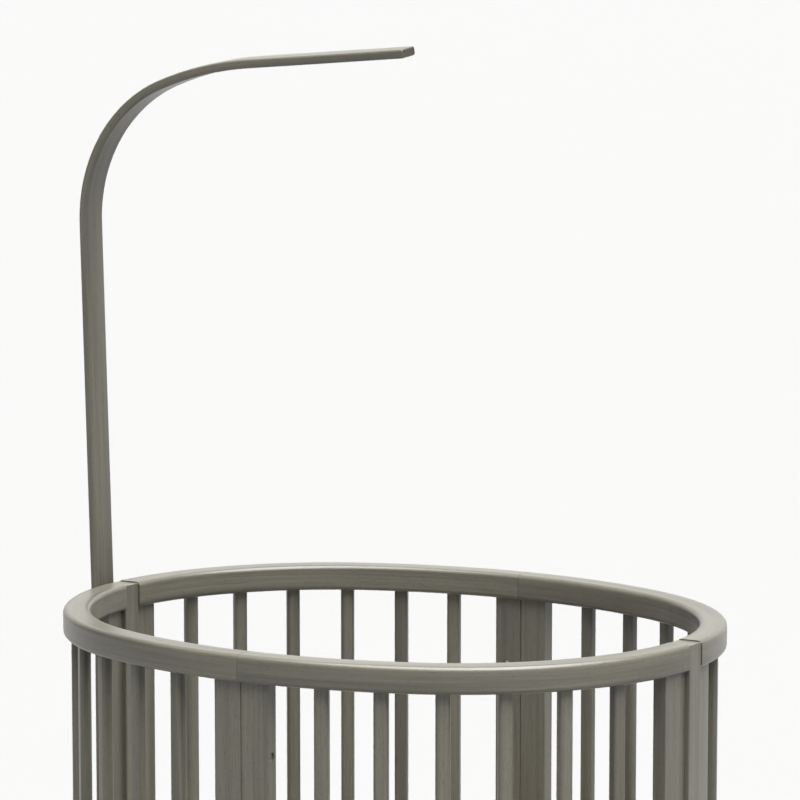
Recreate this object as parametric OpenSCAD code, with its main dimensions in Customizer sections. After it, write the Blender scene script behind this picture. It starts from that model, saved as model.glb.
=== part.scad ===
// Oval slatted cradle on casters, with a bentwood canopy rod at the head end.
// Z is up from the floor and X runs along the oval's long axis, towards the foot end.
// The front side is -Y. The origin is on the floor, under the middle of the bounding box.

/* [Oval] */
// Outside length of the top rail
oval_len = 820; // [800:1:840]
// Outside width of the top rail
oval_wid = 674; // [666:1:680]
// Outside radius of the oval's two end arcs
end_r = 318.75; // [312:0.25:322]
// Height of the top rail's upper face above the floor
rim_top = 880; // [860:1:900]

/* [Rails] */
// Width of a rail, seen from above
rail_w = 33; // [31:0.5:35]
// Height of a rail
rail_h = 32; // [30:0.5:34]
// Height of the bottom rail's underside above the floor
low_rail_z = 215; // [200:1:240]

/* [Slats and panels] */
// Width of a slat along the rail
slat_w = 17; // [15:0.5:21]
// Depth of a slat across the rail
slat_d = 14; // [13:0.5:17]
// Rounding of a slat's corners
slat_round = 5.5; // [3:0.5:6]
// Distance from one slat to the next, along the rail's middle
slat_pitch = 70; // [68:0.5:71]
// Distance from the short axis to the first slat
slat_first = 98; // [94:0.5:100]
// Width of one panel
panel_w = 38; // [34:0.5:40]
// Width of each panel in the middle of the long sides
side_panel_w = 36; // [34:0.5:40]
// Thickness of a panel
panel_t = 19; // [18:0.5:20]
// Distance of a panel's outside face from the rail's outside face
panel_inset = 7; // [6:0.5:8]
// Width of a post between the rail ends
post_w = 28; // [26:0.5:30]
// How far a post's faces lie inside the rail's faces
post_inset = 2; // [1.5:0.1:3]

/* [Mattress base] */
// Height of the base board's upper face above the floor
base_top = 480; // [400:1:520]
// Thickness of the base board
base_t = 12; // [10:0.5:15]

/* [Canopy rod] */
// Thickness of the rod in its bending plane
rod_t = 12; // [11:0.5:13]
// Width of the rod at its foot
rod_w = 36; // [34:0.5:38]
// Width of the rod at its tip
rod_tip_w = 29; // [26:0.5:32]
// How far the rod leans outwards, in degrees
rod_lean = 1.6; // [1:0.1:2]
// Straight length of the rod above the rim
rod_straight = 447; // [400:1:500]

/* [Casters] */
// Radius of a caster's tyre
wheel_r = 30; // [28:0.5:31]
// Width of a caster's tyre
wheel_w = 20; // [18:0.5:22]
// Distance from a caster's stem to its axle
trail = 22; // [20:0.5:24]

/* [Hidden] */
$fn = 96;
gap = 0.15;
half_len = oval_len / 2;
half_wid = oval_wid / 2;

// The oval is four arcs: end arcs of end_r about (+-end_c, 0) and side arcs of side_r about (0, +-side_c).
end_c = half_len - end_r;
side_r = (end_c * end_c + half_wid * half_wid - end_r * end_r) / (2 * (half_wid - end_r));
side_c = side_r - half_wid;
join_a = atan2(side_c, end_c);
// A point beyond the outline, on the line through both arcs' centres, where the arcs meet
join = [3 * end_c, 2 * side_c];
mid_in = rail_w / 2;
end_mid_r = end_r - mid_in;
side_mid_r = side_r - mid_in;
side_arc = side_mid_r * (90 - join_a) * PI / 180;

rail_z = rim_top - rail_h;
tenon = 12;
slat_z0 = low_rail_z + rail_h - tenon;
slat_z1 = rail_z + tenon;
panel_in = panel_inset + panel_t;
end_panel_a = (post_w / 2 + panel_w) / end_mid_r * 180 / PI;
side_panel_a = side_panel_w / side_mid_r * 180 / PI;
post_out_x = half_len - post_inset;
post_in_x = half_len - rail_w + post_inset - 0.5;
post_mid_x = (post_out_x + post_in_x) / 2;
post_d = post_out_x - post_in_x;

// Foot blocks, under the panels
foot_z = 78;
foot_h = 52;
leg_z = foot_z + foot_h;
foot_d = 31;
foot_len_side = 2 * side_panel_w + 2;
foot_len_end = post_w + 2 * panel_w + 2;
foot_side_y = half_wid - panel_inset - panel_t / 2;
foot_end_x = post_mid_x + 0.5;
foot_round = 4;
foot_screw_r = 2.5;
foot_screw_in = 16;
foot_screw_deep = 25;

// Connector bolts, one row at each height
bolt_zs = [rim_top - 117, 545, 320];
bolt_r = 3;
bolt_head_r = 5;
bolt_head_h = 4;
bolt_sink = 6;
nut_r = 5;
nut_len = 14;
side_bolt_y = half_wid - panel_inset - panel_t / 2;
end_bolt_x = half_len - panel_inset - panel_t / 2 - 1.5;
side_head_x = side_panel_w - 0.6;
end_head_y = post_w / 2 + panel_w - 2.6;
side_nut_x = -20;
end_nut_y = post_w / 2 + 20;

// Dowels at the joints
dowel_r = 4;
dowel_len = 40;

// Mattress base
base_z = base_top - base_t;
base_edge = rail_w + 4;
vent_r = 12;
vent_step = 58;
vent_field_x = 266;
vent_field_y = 223;
batten_w = 24;
batten_h = 18;
batten_y = 144;
batten_len = 380;
brk_t = 3;
brk_h = 46;
brk_reach = 44;
brk_w_end = 26;
brk_w_side = 64;
brk_screw_r = 2.5;
insert_r = 5;
insert_len = 13;
base_bolt_r = 3;
base_head_r = 6.5;
base_head_h = 3;
base_head_z = -base_head_h - 0.2;
brk_bolt_in = 30;
side_brk_y = half_wid - panel_in - 1.2;

// Canopy rod: straight foot, tight bend, wide bend, straight arm
rod_foot_x = 423.5;
bend1_r = 182.6;
bend1_a = 70.2;
bend2_r = 438.2;
bend2_a = 17;
rod_arm = 217.5;
rod_foot_below = 74;
rod_reach = rod_foot_x + rod_straight * tan(rod_lean) + rod_t / 2 * cos(rod_lean);
// The bounding box runs from the rod's back to the foot end of the rail.
oval_x = (rod_reach - half_len) / 2;

// Rod holder on the head post
hold_top = rim_top - 18;
hold_h = 62;
hold_z = hold_top - hold_h;
hold_w = 50;
hold_out = 438;
slot_gap = 0.35;
hold_screw_zs = [hold_z + 17, hold_z + 47];
hold_clamp_z = hold_z + 32;

// Casters
tyre_in = 21;
axle_r = 3;
run = 0.05;
cheek_t = 3;
cheek_y = wheel_w / 2 + 1.2;
axle_half = cheek_y + cheek_t + 0.02;
crown_z = wheel_r * 2 + 4;
crown_h = 7;
stem_r = 5.5;
stem_top = foot_z + 36;
socket_r = 8;
socket_h = 40;
pedal_pin_x = 38;
pedal_pin_z = 62;
pedal_edge = 44;

// Where the casters stand: [x, y, direction of the trail]
caster_at = [
    [foot_end_x, 0, 90],
    [-foot_end_x, 0, 270],
    [0, foot_side_y, 180],
    [0, -foot_side_y, 0]
];

WOOD = [0.40, 0.39, 0.35];
BOARD = [0.55, 0.53, 0.48];
STEEL = [0.62, 0.63, 0.65];
PLASTIC = [0.30, 0.30, 0.29];
RUBBER = [0.16, 0.16, 0.16];

// ---- The oval ----

// Everything is drawn about the oval's centre and moved once, to the bounding box's middle.
module at_oval() {
    translate([oval_x, 0, 0]) children();
}

// A quarter is drawn at +X +Y and mirrored to its own place.
module quarter(sx, sy) {
    mirror([sx < 0 ? 1 : 0, 0, 0])
        mirror([0, sy < 0 ? 1 : 0, 0])
            children();
}

// A 2-D profile swept along the end arc. The profile's X is the distance inwards from the oval.
module end_sweep(a0, a1) {
    translate([end_c, 0, 0])
        rotate([0, 0, a0])
            rotate_extrude(angle = a1 - a0)
                translate([end_r, 0])
                    mirror([1, 0])
                        children();
}

// The same along the side arc.
module side_sweep(a0, a1) {
    translate([0, -side_c, 0])
        rotate([0, 0, a0])
            rotate_extrude(angle = a1 - a0)
                translate([side_r, 0])
                    mirror([1, 0])
                        children();
}

// The sectors of the end arc and of the side arc in the first quarter
module end_sector() {
    polygon([[end_c, 0], join, [2 * half_len, join[1]], [2 * half_len, 0]]);
}

module side_sector() {
    polygon([[0, 0], [end_c, 0], join, [0, join[1]]]);
}

module end_disc(d) {
    translate([end_c, 0]) circle(end_r - d, $fn = 240);
}

module side_disc(d) {
    translate([0, -side_c]) circle(side_r - d, $fn = 240);
}

// The oval as a flat outline, drawn d inside the rail's outside face
module oval_outline(d) {
    for (sx = [0, 1])
        for (sy = [0, 1])
            mirror([sx, 0])
                mirror([0, sy]) {
                    intersection() {
                        end_disc(d);
                        end_sector();
                    }
                    intersection() {
                        side_disc(d);
                        side_sector();
                    }
                }
}

// The first quarter of the rail, cut by the region that the children draw
module quarter_rail(z) {
    translate([0, 0, z])
        linear_extrude(rail_h)
            intersection() {
                union() {
                    intersection() {
                        difference() {
                            end_disc(0);
                            end_disc(rail_w);
                        }
                        end_sector();
                    }
                    intersection() {
                        difference() {
                            side_disc(0);
                            side_disc(rail_w);
                        }
                        side_sector();
                    }
                }
                children();
            }
}

// Place of slat k in a quarter: [x, y, direction of the outward normal]
function slat_angle(s) =
    s < side_arc
        ? 90 - s / side_mid_r * 180 / PI
        : join_a - (s - side_arc) / end_mid_r * 180 / PI;
function slat_place(s) =
    let (a = slat_angle(s))
    s < side_arc
        ? [side_mid_r * cos(a), side_mid_r * sin(a) - side_c, a]
        : [end_c + end_mid_r * cos(a), end_mid_r * sin(a), a];

module slat_outline(grow) {
    r = slat_round + grow;
    w = slat_w + 2 * grow;
    d = slat_d + 2 * grow;
    square([d - 2 * r, w], center = true);
    square([d, w - 2 * r], center = true);
    for (x = [-1, 1])
        for (y = [-1, 1])
            translate([x * (d / 2 - r), y * (w / 2 - r)]) circle(r);
}

module slat_row(grow, z0, z1) {
    for (k = [0:5]) {
        p = slat_place(slat_first + k * slat_pitch);
        translate([p[0], p[1], z0])
            rotate([0, 0, p[2]])
                linear_extrude(z1 - z0) slat_outline(grow);
    }
}

// ---- Wooden parts ----

module dowel_holes() {
    for (s = [-1, 1])
        for (y = [-1, 1]) {
            translate([s * post_mid_x, 0, rail_z + rail_h / 2])
                rotate([90, 0, 0])
                    cylinder(h = dowel_len + post_w + 1, r = dowel_r, center = true);
            translate([0, y * (half_wid - mid_in), rail_z + rail_h / 2])
                rotate([0, 90, 0])
                    cylinder(h = dowel_len + 1, r = dowel_r, center = true);
        }
}

module top_rail(sx, sy) {
    color(WOOD)
        difference() {
            quarter(sx, sy)
                difference() {
                    quarter_rail(rail_z)
                        translate([gap, post_w / 2 + gap]) square(half_len + 10);
                    slat_row(0.1, rail_z - 1, slat_z1 + 0.5);
                }
            dowel_holes();
        }
}

// The bottom rail fills the space between the side panel and the end panel.
module low_rail_region() {
    far = 2 * half_len;
    polygon([
        [end_c, 0],
        [end_c + far * cos(end_panel_a + 0.03), far * sin(end_panel_a + 0.03)],
        [far, far],
        [far * sin(side_panel_a + 0.02), far * cos(side_panel_a + 0.02) - side_c],
        [side_c * tan(side_panel_a + 0.02), 0]
    ]);
}

module low_rail(sx, sy) {
    color(WOOD)
        quarter(sx, sy)
            difference() {
                quarter_rail(low_rail_z) low_rail_region();
                slat_row(0.1, slat_z0 - 0.5, low_rail_z + rail_h + 1);
            }
}

module slats(sx, sy) {
    color(WOOD)
        quarter(sx, sy)
            slat_row(0, slat_z0, slat_z1);
}

module panel_profile(h) {
    translate([panel_inset, 0]) square([panel_t, h]);
}

// Bolt and nut holes through a row of panels, along the given line
module side_bolt_holes() {
    for (y = [-1, 1])
        for (z = bolt_zs)
            translate([0, y * side_bolt_y, z]) {
                translate([side_nut_x - 8, 0, 0])
                    rotate([0, 90, 0]) cylinder(h = side_panel_w - side_nut_x + 6, r = bolt_r + 0.2);
                translate([side_head_x - bolt_sink, 0, 0])
                    rotate([0, 90, 0]) cylinder(h = bolt_sink + 6, r = bolt_head_r + 0.3);
                translate([side_nut_x, y * -13, 0])
                    rotate([-90 * y, 0, 0]) cylinder(h = 13 + nut_len / 2, r = nut_r + 0.1);
            }
}

module end_bolt_holes() {
    for (x = [-1, 1])
        for (z = bolt_zs)
            translate([x * end_bolt_x, 0, z]) {
                rotate([-90, 0, 0])
                    cylinder(h = end_head_y, r = bolt_r + 0.2);
                rotate([90, 0, 0])
                    cylinder(h = end_nut_y + 8, r = bolt_r + 0.2);
                translate([0, end_head_y - bolt_sink, 0])
                    rotate([-90, 0, 0]) cylinder(h = bolt_sink + 8, r = bolt_head_r + 0.3);
                translate([x * -13, -end_nut_y, 0])
                    rotate([0, 90 * x, 0]) cylinder(h = 13 + nut_len / 2, r = nut_r + 0.1);
            }
}

module side_panel(sx, sy) {
    color(WOOD)
        difference() {
            quarter(sx, sy)
                difference() {
                    translate([0, 0, leg_z])
                        side_sweep(90 - side_panel_a, 90) panel_profile(rail_z - leg_z);
                    translate([-1, half_wid - 2 * rail_w, leg_z - 1])
                        cube([1 + gap, 3 * rail_w, rail_z]);
                }
            side_bolt_holes();
            insert_holes();
            foot_screw_holes();
        }
}

module end_panel(sx, sy) {
    color(WOOD)
        difference() {
            quarter(sx, sy)
                difference() {
                    translate([0, 0, leg_z])
                        end_sweep(0, end_panel_a) panel_profile(rail_z - leg_z);
                    translate([0, -1, leg_z - 1])
                        cube([half_len + 10, post_w / 2 + gap + 1, rail_z]);
                }
            end_bolt_holes();
            foot_screw_holes();
        }
}

module post(s) {
    color(WOOD)
        difference() {
            translate([s * post_mid_x, 0, leg_z])
                linear_extrude(rim_top - leg_z)
                    rounded_square(post_d, post_w, 2.5);
            dowel_holes();
            end_bolt_holes();
            insert_holes();
            if (s < 0)
                for (z = hold_screw_zs)
                    translate([-post_out_x - 1, 0, z])
                        rotate([0, 90, 0]) cylinder(h = 23, r = brk_screw_r);
        }
}

module rounded_square(a, b, r) {
    square([a - 2 * r, b], center = true);
    square([a, b - 2 * r], center = true);
    for (x = [-1, 1])
        for (y = [-1, 1])
            translate([x * (a / 2 - r), y * (b / 2 - r)]) circle(r);
}

// Foot block drawn under the +Y panels, long side along X
module foot_block_shape(len) {
    difference() {
        translate([0, 0, foot_z])
            linear_extrude(foot_h) rounded_square(len, foot_d, foot_round);
        translate([0, 0, foot_z - 1]) cylinder(h = socket_h + 1.2, r = socket_r);
        for (x = [-1, 1])
            translate([x * (len / 2 - foot_screw_in), 0, foot_z - 1]) {
                cylinder(h = foot_h + 2, r = foot_screw_r + 0.1);
                cylinder(h = 8, r = 2 * foot_screw_r + 0.2);
            }
    }
}

function foot_len(k) = k < 2 ? foot_len_end : foot_len_side;

module foot_block(k) {
    p = caster_at[k];
    color(WOOD)
        translate([p[0], p[1], 0])
            rotate([0, 0, k < 2 ? 90 : 0]) foot_block_shape(foot_len(k));
}

// Place of the screws that join the foot blocks to the panels
module place_foot_screws() {
    for (k = [0:3]) {
        p = caster_at[k];
        translate([p[0], p[1], foot_z + 3])
            rotate([0, 0, k < 2 ? 90 : 0])
                for (x = [-1, 1])
                    translate([x * (foot_len(k) / 2 - foot_screw_in), 0, 0]) children();
    }
}

module foot_screw_holes() {
    place_foot_screws() cylinder(h = foot_h + foot_screw_deep, r = foot_screw_r + 0.02);
}

module foot_block_screws() {
    color(STEEL)
        place_foot_screws() {
            cylinder(h = foot_h - 3 + foot_screw_deep, r = foot_screw_r);
            cylinder(h = 3.8, r = 2 * foot_screw_r);
        }
}

module dowels() {
    color(BOARD)
        for (s = [-1, 1]) {
            translate([s * post_mid_x, 0, rail_z + rail_h / 2])
                rotate([90, 0, 0])
                    cylinder(h = post_w + dowel_len, r = dowel_r - 0.05, center = true);
            translate([0, s * (half_wid - mid_in), rail_z + rail_h / 2])
                rotate([0, 90, 0])
                    cylinder(h = dowel_len, r = dowel_r - 0.05, center = true);
        }
}

// ---- Connector hardware ----

// Bolt along -X, its head's outside face at the origin
module connector_bolt(length) {
    rotate([0, -90, 0])
        difference() {
            union() {
                cylinder(h = length, r = bolt_r);
                cylinder(h = bolt_head_h, r = bolt_head_r);
            }
            translate([0, 0, -1]) cylinder(h = 3.4, r = 2.3, $fn = 6);
        }
}

module panel_bolts() {
    color(STEEL) {
        for (y = [-1, 1])
            for (z = bolt_zs)
                translate([side_head_x - bolt_sink + bolt_head_h, y * side_bolt_y, z])
                    connector_bolt(side_head_x - bolt_sink + bolt_head_h - side_nut_x + 4);
        for (x = [-1, 1])
            for (z = bolt_zs)
                translate([x * end_bolt_x, end_head_y - bolt_sink + bolt_head_h, z])
                    rotate([0, 0, 90])
                        connector_bolt(end_head_y - bolt_sink + bolt_head_h + end_nut_y + 4);
    }
}

module barrel_nut() {
    difference() {
        cylinder(h = nut_len, r = nut_r, center = true);
        rotate([0, 90, 0]) cylinder(h = 12, r = bolt_r + 0.05, center = true);
    }
}

module barrel_nuts() {
    color(STEEL) {
        for (y = [-1, 1])
            for (z = bolt_zs)
                translate([side_nut_x, y * side_bolt_y, z])
                    rotate([90, 0, 0]) barrel_nut();
        for (x = [-1, 1])
            for (z = bolt_zs)
                translate([x * end_bolt_x, -end_nut_y, z])
                    rotate([90, 0, 90]) barrel_nut();
    }
}

// ---- Mattress base ----

module insert_holes() {
    place_inserts()
        translate([0, 0, -0.5]) cylinder(h = insert_len + 1, r = insert_r);
}

// Z of the child points into the wood
module place_inserts() {
    for (y = [-1, 1])
        for (x = [-1, 1])
            translate([x * 19, y * side_brk_y, base_z - 24])
                rotate([-90 * y, 0, 0]) children();
    for (x = [-1, 1])
        for (z = [base_z - 36, base_z - 14])
            translate([x * post_in_x, 0, z])
                rotate([0, 90 * x, 0]) children();
}

module threaded_inserts() {
    color(STEEL)
        place_inserts()
            difference() {
                translate([0, 0, 0.9]) cylinder(h = insert_len - 0.9, r = insert_r);
                translate([0, 0, -0.5]) cylinder(h = insert_len - 1, r = brk_screw_r + 0.05);
            }
}

module base_board() {
    color(BOARD)
        difference() {
            translate([0, 0, base_z])
                linear_extrude(base_t) oval_outline(base_edge);
            for (i = [-5:5])
                for (j = [-4:4])
                    if (norm([i / vent_field_x, j / vent_field_y]) * vent_step < 1)
                        translate([i * vent_step, j * vent_step, base_z - 1])
                            cylinder(h = base_t + 2, r = vent_r);
            place_base_bolts() {
                translate([0, 0, -base_t - 1]) cylinder(h = base_t + 2, r = base_bolt_r + 0.2);
                translate([0, 0, base_head_z]) cylinder(h = base_head_h + 1, r = base_head_r + 0.2);
            }
        }
}

module base_battens() {
    color(BOARD)
        for (y = [-1, 1])
            translate([0, y * batten_y, base_z - batten_h / 2])
                cube([batten_len, batten_w, batten_h], center = true);
}

// Z = 0 is the board's upper face, over a bracket's flange
module place_base_bolts() {
    for (y = [-1, 1])
        translate([0, y * (side_brk_y - brk_bolt_in), base_top]) children();
    for (x = [-1, 1])
        translate([x * (post_in_x - brk_bolt_in), 0, base_top]) children();
}

// Bracket drawn against a wall at x = 0, reaching towards -X
module bracket(w) {
    translate([-brk_t, -w / 2, base_z - brk_h])
        cube([brk_t, w, brk_h]);
    translate([-brk_reach, -w / 2, base_z - brk_t])
        cube([brk_reach, w, brk_t]);
}

module base_brackets() {
    color(STEEL)
        difference() {
            union() {
                for (a = [0, 180])
                    rotate([0, 0, a])
                        translate([post_in_x - 0.1, 0, 0]) bracket(brk_w_end);
                for (a = [90, 270])
                    rotate([0, 0, a])
                        translate([side_brk_y - 0.1, 0, 0]) bracket(brk_w_side);
            }
            place_inserts()
                translate([0, 0, -10]) cylinder(h = 12, r = brk_screw_r + 0.3);
            place_base_bolts()
                translate([0, 0, -base_t - brk_t - 1]) cylinder(h = brk_t + 2, r = base_bolt_r + 0.2);
        }
}

// Bracket screws, and the bolts and nuts that hold the board down
module base_bolts() {
    color(STEEL) {
        place_inserts() {
            translate([0, 0, -brk_t - 3]) cylinder(h = 2.8, r = 4.6);
            translate([0, 0, -brk_t - 0.3]) cylinder(h = insert_len - 2 + brk_t, r = brk_screw_r);
        }
        place_base_bolts() {
            translate([0, 0, base_head_z]) cylinder(h = base_head_h, r = base_head_r);
            translate([0, 0, -base_t - brk_t - 9]) cylinder(h = base_t + brk_t + 8, r = base_bolt_r);
            translate([0, 0, -base_t - brk_t - 5.5]) cylinder(h = 5, r = 5.5, $fn = 6);
        }
    }
}

// ---- Canopy rod ----

// Points of one long side of the rod, side = 1 outside the bends or -1 inside them.
// At turn a, the rod runs towards [sin(a), cos(a)] and its outside faces [-cos(a), sin(a)].
function rod_out(a) = [-cos(a), sin(a)];
function arc_points(c, r, a0, a1, step) = [for (a = [a0:step:a1]) c + r * rod_out(a)];
function rod_side(side) =
    let (
        d = side * rod_t / 2,
        top = rod_straight / cos(rod_lean),
        c1 = [bend1_r, top],
        c2 = c1 + (bend1_r - bend2_r) * rod_out(bend1_a),
        turn = bend1_a + bend2_a,
        tip = c2 + (bend2_r + d) * rod_out(turn) + rod_arm * [sin(turn), cos(turn)]
    )
    concat(
        [[-d, -rod_foot_below]],
        arc_points(c1, bend1_r + d, 0, bend1_a - 0.1, bend1_a / 20),
        arc_points(c2, bend2_r + d, bend1_a, turn + 0.1, bend2_a / 6),
        [tip]
    );
function reversed(list) = [for (i = [len(list) - 1:-1:0]) list[i]];

// The frame in which the rod stands upright: its foot line at the rim's height
module rod_frame() {
    translate([-rod_foot_x, 0, rim_top])
        rotate([0, -rod_lean, 0]) children();
}

module canopy_rod() {
    color(WOOD)
        intersection() {
            rod_frame()
                rotate([90, 0, 0])
                    linear_extrude(rod_w, center = true)
                        polygon(concat(rod_side(1), reversed(rod_side(-1))));
            translate([0, 0, rim_top - 200])
                linear_extrude(1000)
                    polygon([
                        [-480, -rod_w / 2 - 1], [-415, -rod_w / 2], [40, -rod_tip_w / 2],
                        [40, rod_tip_w / 2], [-415, rod_w / 2], [-480, rod_w / 2 + 1]
                    ]);
        }
}

module rod_holder() {
    color(WOOD)
        difference() {
            union() {
                translate([-hold_out, -hold_w / 2, hold_z])
                    cube([hold_out - half_len - 0.5, hold_w, hold_h]);
                translate([-half_len - 1, -post_w / 2 + 1, hold_z])
                    cube([post_inset + 1 - 0.05, post_w - 2, hold_h]);
            }
            rod_frame()
                translate([-rod_t / 2 - slot_gap, -rod_w / 2 - slot_gap, -rod_foot_below - slot_gap])
                    cube([rod_t + 2 * slot_gap, rod_w + 2 * slot_gap, 100]);
            for (z = hold_screw_zs) {
                translate([-post_out_x + 1, 0, z])
                    rotate([0, -90, 0]) cylinder(h = 40, r = brk_screw_r + 0.2);
                translate([-rod_foot_x + 11.5, 0, z])
                    rotate([0, -90, 0]) cylinder(h = 30, r = 4.8);
            }
            translate([-hold_out - 1, 0, hold_clamp_z])
                rotate([0, 90, 0]) cylinder(h = 14, r = 3.02);
        }
}

module rod_holder_screws() {
    color(STEEL)
        for (z = hold_screw_zs) {
            translate([-post_out_x + 21, 0, z])
                rotate([0, -90, 0]) cylinder(h = 26, r = brk_screw_r - 0.02);
            translate([-rod_foot_x + 11.4, 0, z])
                rotate([0, -90, 0]) cylinder(h = 1.8, r = 4.6);
        }
}

module rod_clamp_screw() {
    tip = rod_foot_x + rod_t / 2 + (hold_clamp_z - rim_top) * tan(rod_lean) + 0.4;
    color(PLASTIC)
        difference() {
            union() {
                translate([-tip, 0, hold_clamp_z])
                    rotate([0, -90, 0]) cylinder(h = hold_out - tip + 1, r = 3);
                translate([-hold_out - 0.2, 0, hold_clamp_z])
                    rotate([0, -90, 0]) cylinder(h = 3, r = 7);
            }
            translate([-hold_out - 4, -0.8, hold_clamp_z - 5]) cube([2, 1.6, 10]);
        }
}

// ---- Casters, drawn about the stem with the trail along +X ----

module at_caster(k) {
    p = caster_at[k];
    translate([p[0], p[1], 0]) rotate([0, 0, p[2]]) children();
}

module caster_sockets() {
    color(STEEL)
        for (k = [0:3])
            at_caster(k)
                difference() {
                    union() {
                        translate([0, 0, foot_z]) cylinder(h = socket_h, r = socket_r - 0.02);
                        translate([0, 0, foot_z - 1.5]) cylinder(h = 1.5, r = 12);
                    }
                    translate([0, 0, foot_z - 3]) cylinder(h = socket_h, r = stem_r + run);
                }
}

module cheek(braked) {
    back = braked ? pedal_edge : 32;
    rotate([90, 0, 0])
        linear_extrude(cheek_t)
            difference() {
                union() {
                    translate([trail, wheel_r]) circle(9);
                    polygon([
                        [-13, crown_z + crown_h],
                        [-15, crown_z - 2],
                        [trail - 8.6, wheel_r - 2.6],
                        [trail + 8.8, wheel_r + 1.8],
                        [back, pedal_pin_z - 4],
                        [back, crown_z + crown_h - 3],
                        [back - 4, crown_z + crown_h]
                    ]);
                }
                translate([trail, wheel_r]) circle(axle_r + 0.02);
                if (braked)
                    translate([pedal_pin_x, pedal_pin_z]) circle(2 + run);
            }
}

module fork(k) {
    braked = k < 2;
    color(PLASTIC)
        at_caster(k) {
            for (s = [0, 1])
                mirror([0, s, 0])
                    translate([0, cheek_y + cheek_t, 0]) cheek(braked);
            translate([-13, -cheek_y - 1, crown_z])
                cube([13 + (braked ? 24 : 28), 2 * cheek_y + 2, crown_h]);
            translate([0, 0, crown_z + 1]) cylinder(h = foot_z - 2 - crown_z - 1, r = 11);
            translate([0, 0, crown_z + 1]) cylinder(h = stem_top - crown_z - 1, r = stem_r);
        }
}

module axle(k) {
    color(STEEL)
        at_caster(k)
            translate([trail, 0, wheel_r])
                rotate([90, 0, 0]) {
                    cylinder(h = 2 * axle_half, r = axle_r, center = true);
                    for (s = [-1, 1])
                        translate([0, 0, s * (axle_half + 0.8)]) cylinder(h = 1.6, r = 5, center = true);
                }
}

module hub(k) {
    color(PLASTIC)
        at_caster(k)
            translate([trail, 0, wheel_r])
                rotate([90, 0, 0])
                    difference() {
                        cylinder(h = wheel_w, r = tyre_in - 0.02, center = true);
                        cylinder(h = wheel_w + 2, r = axle_r + run, center = true);
                        for (s = [-1, 1])
                            translate([0, 0, s * wheel_w / 2])
                                difference() {
                                    cylinder(h = 6, r = tyre_in - 3.5, center = true);
                                    cylinder(h = 7, r = axle_r + 4, center = true);
                                }
                    }
}

module tyre(k) {
    r = 4;
    color(RUBBER)
        at_caster(k)
            translate([trail, 0, wheel_r])
                rotate([90, 0, 0])
                    rotate_extrude() {
                        translate([tyre_in, -wheel_w / 2]) square([wheel_r - tyre_in - r, wheel_w]);
                        translate([tyre_in, -wheel_w / 2 + r]) square([wheel_r - tyre_in, wheel_w - 2 * r]);
                        for (s = [-1, 1])
                            translate([wheel_r - r, s * (wheel_w / 2 - r)]) circle(r);
                    }
}

// Rocking pedal: pin in the fork's cheeks, foot pad behind, shoe over the tyre
module brake(k) {
    color(PLASTIC)
        at_caster(k) {
            translate([pedal_pin_x, 0, pedal_pin_z])
                rotate([90, 0, 0])
                    cylinder(h = 2 * (cheek_y + cheek_t), r = 2, center = true);
            translate([0, cheek_y - 0.4, 0])
                rotate([90, 0, 0])
                    linear_extrude(2 * cheek_y - 0.8)
                        translate([pedal_pin_x, pedal_pin_z]) {
                            circle(4);
                            polygon([
                                [-2, 3.4], [1.5, -6], [3.5, -6.5], [8, -3.6], [28, -5.5], [30, -0.5], [8, 6]
                            ]);
                        }
        }
}

at_oval() top_rail(1, -1);  // rail_top_front_right
at_oval() top_rail(1, 1);  // rail_top_back_right
at_oval() top_rail(-1, 1);  // rail_top_back_left
at_oval() top_rail(-1, -1);  // rail_top_front_left
at_oval() low_rail(1, -1);  // rail_low_front_right
at_oval() low_rail(1, 1);  // rail_low_back_right
at_oval() low_rail(-1, 1);  // rail_low_back_left
at_oval() low_rail(-1, -1);  // rail_low_front_left
at_oval() side_panel(1, -1);  // side_panel_front_right
at_oval() side_panel(1, 1);  // side_panel_back_right
at_oval() side_panel(-1, 1);  // side_panel_back_left
at_oval() side_panel(-1, -1);  // side_panel_front_left
at_oval() end_panel(1, -1);  // end_panel_front_right
at_oval() end_panel(1, 1);  // end_panel_back_right
at_oval() end_panel(-1, 1);  // end_panel_back_left
at_oval() end_panel(-1, -1);  // end_panel_front_left
at_oval() slats(1, -1);  // slats_front_right
at_oval() slats(1, 1);  // slats_back_right
at_oval() slats(-1, 1);  // slats_back_left
at_oval() slats(-1, -1);  // slats_front_left
at_oval() post(1);  // post_foot
at_oval() post(-1);  // post_head
at_oval() foot_block(0);  // foot_block_foot
at_oval() foot_block(1);  // foot_block_head
at_oval() foot_block(2);  // foot_block_back
at_oval() foot_block(3);  // foot_block_front
at_oval() foot_block_screws();
at_oval() panel_bolts();
at_oval() barrel_nuts();
at_oval() dowels();
at_oval() base_board();
at_oval() base_battens();
at_oval() base_brackets();
at_oval() base_bolts();
at_oval() threaded_inserts();
at_oval() canopy_rod();
at_oval() rod_holder();
at_oval() rod_holder_screws();
at_oval() rod_clamp_screw();
at_oval() caster_sockets();
at_oval() fork(0);  // fork_foot
at_oval() fork(1);  // fork_head
at_oval() fork(2);  // fork_back
at_oval() fork(3);  // fork_front
at_oval() axle(0);  // axle_foot
at_oval() axle(1);  // axle_head
at_oval() axle(2);  // axle_back
at_oval() axle(3);  // axle_front
at_oval() hub(0);  // hub_foot
at_oval() hub(1);  // hub_head
at_oval() hub(2);  // hub_back
at_oval() hub(3);  // hub_front
at_oval() tyre(0);  // tyre_foot
at_oval() tyre(1);  // tyre_head
at_oval() tyre(2);  // tyre_back
at_oval() tyre(3);  // tyre_front
at_oval() brake(0);  // brake_foot
at_oval() brake(1);  // brake_head
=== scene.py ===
"""Oval slatted cradle on casters: its visible pieces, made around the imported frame."""

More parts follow.
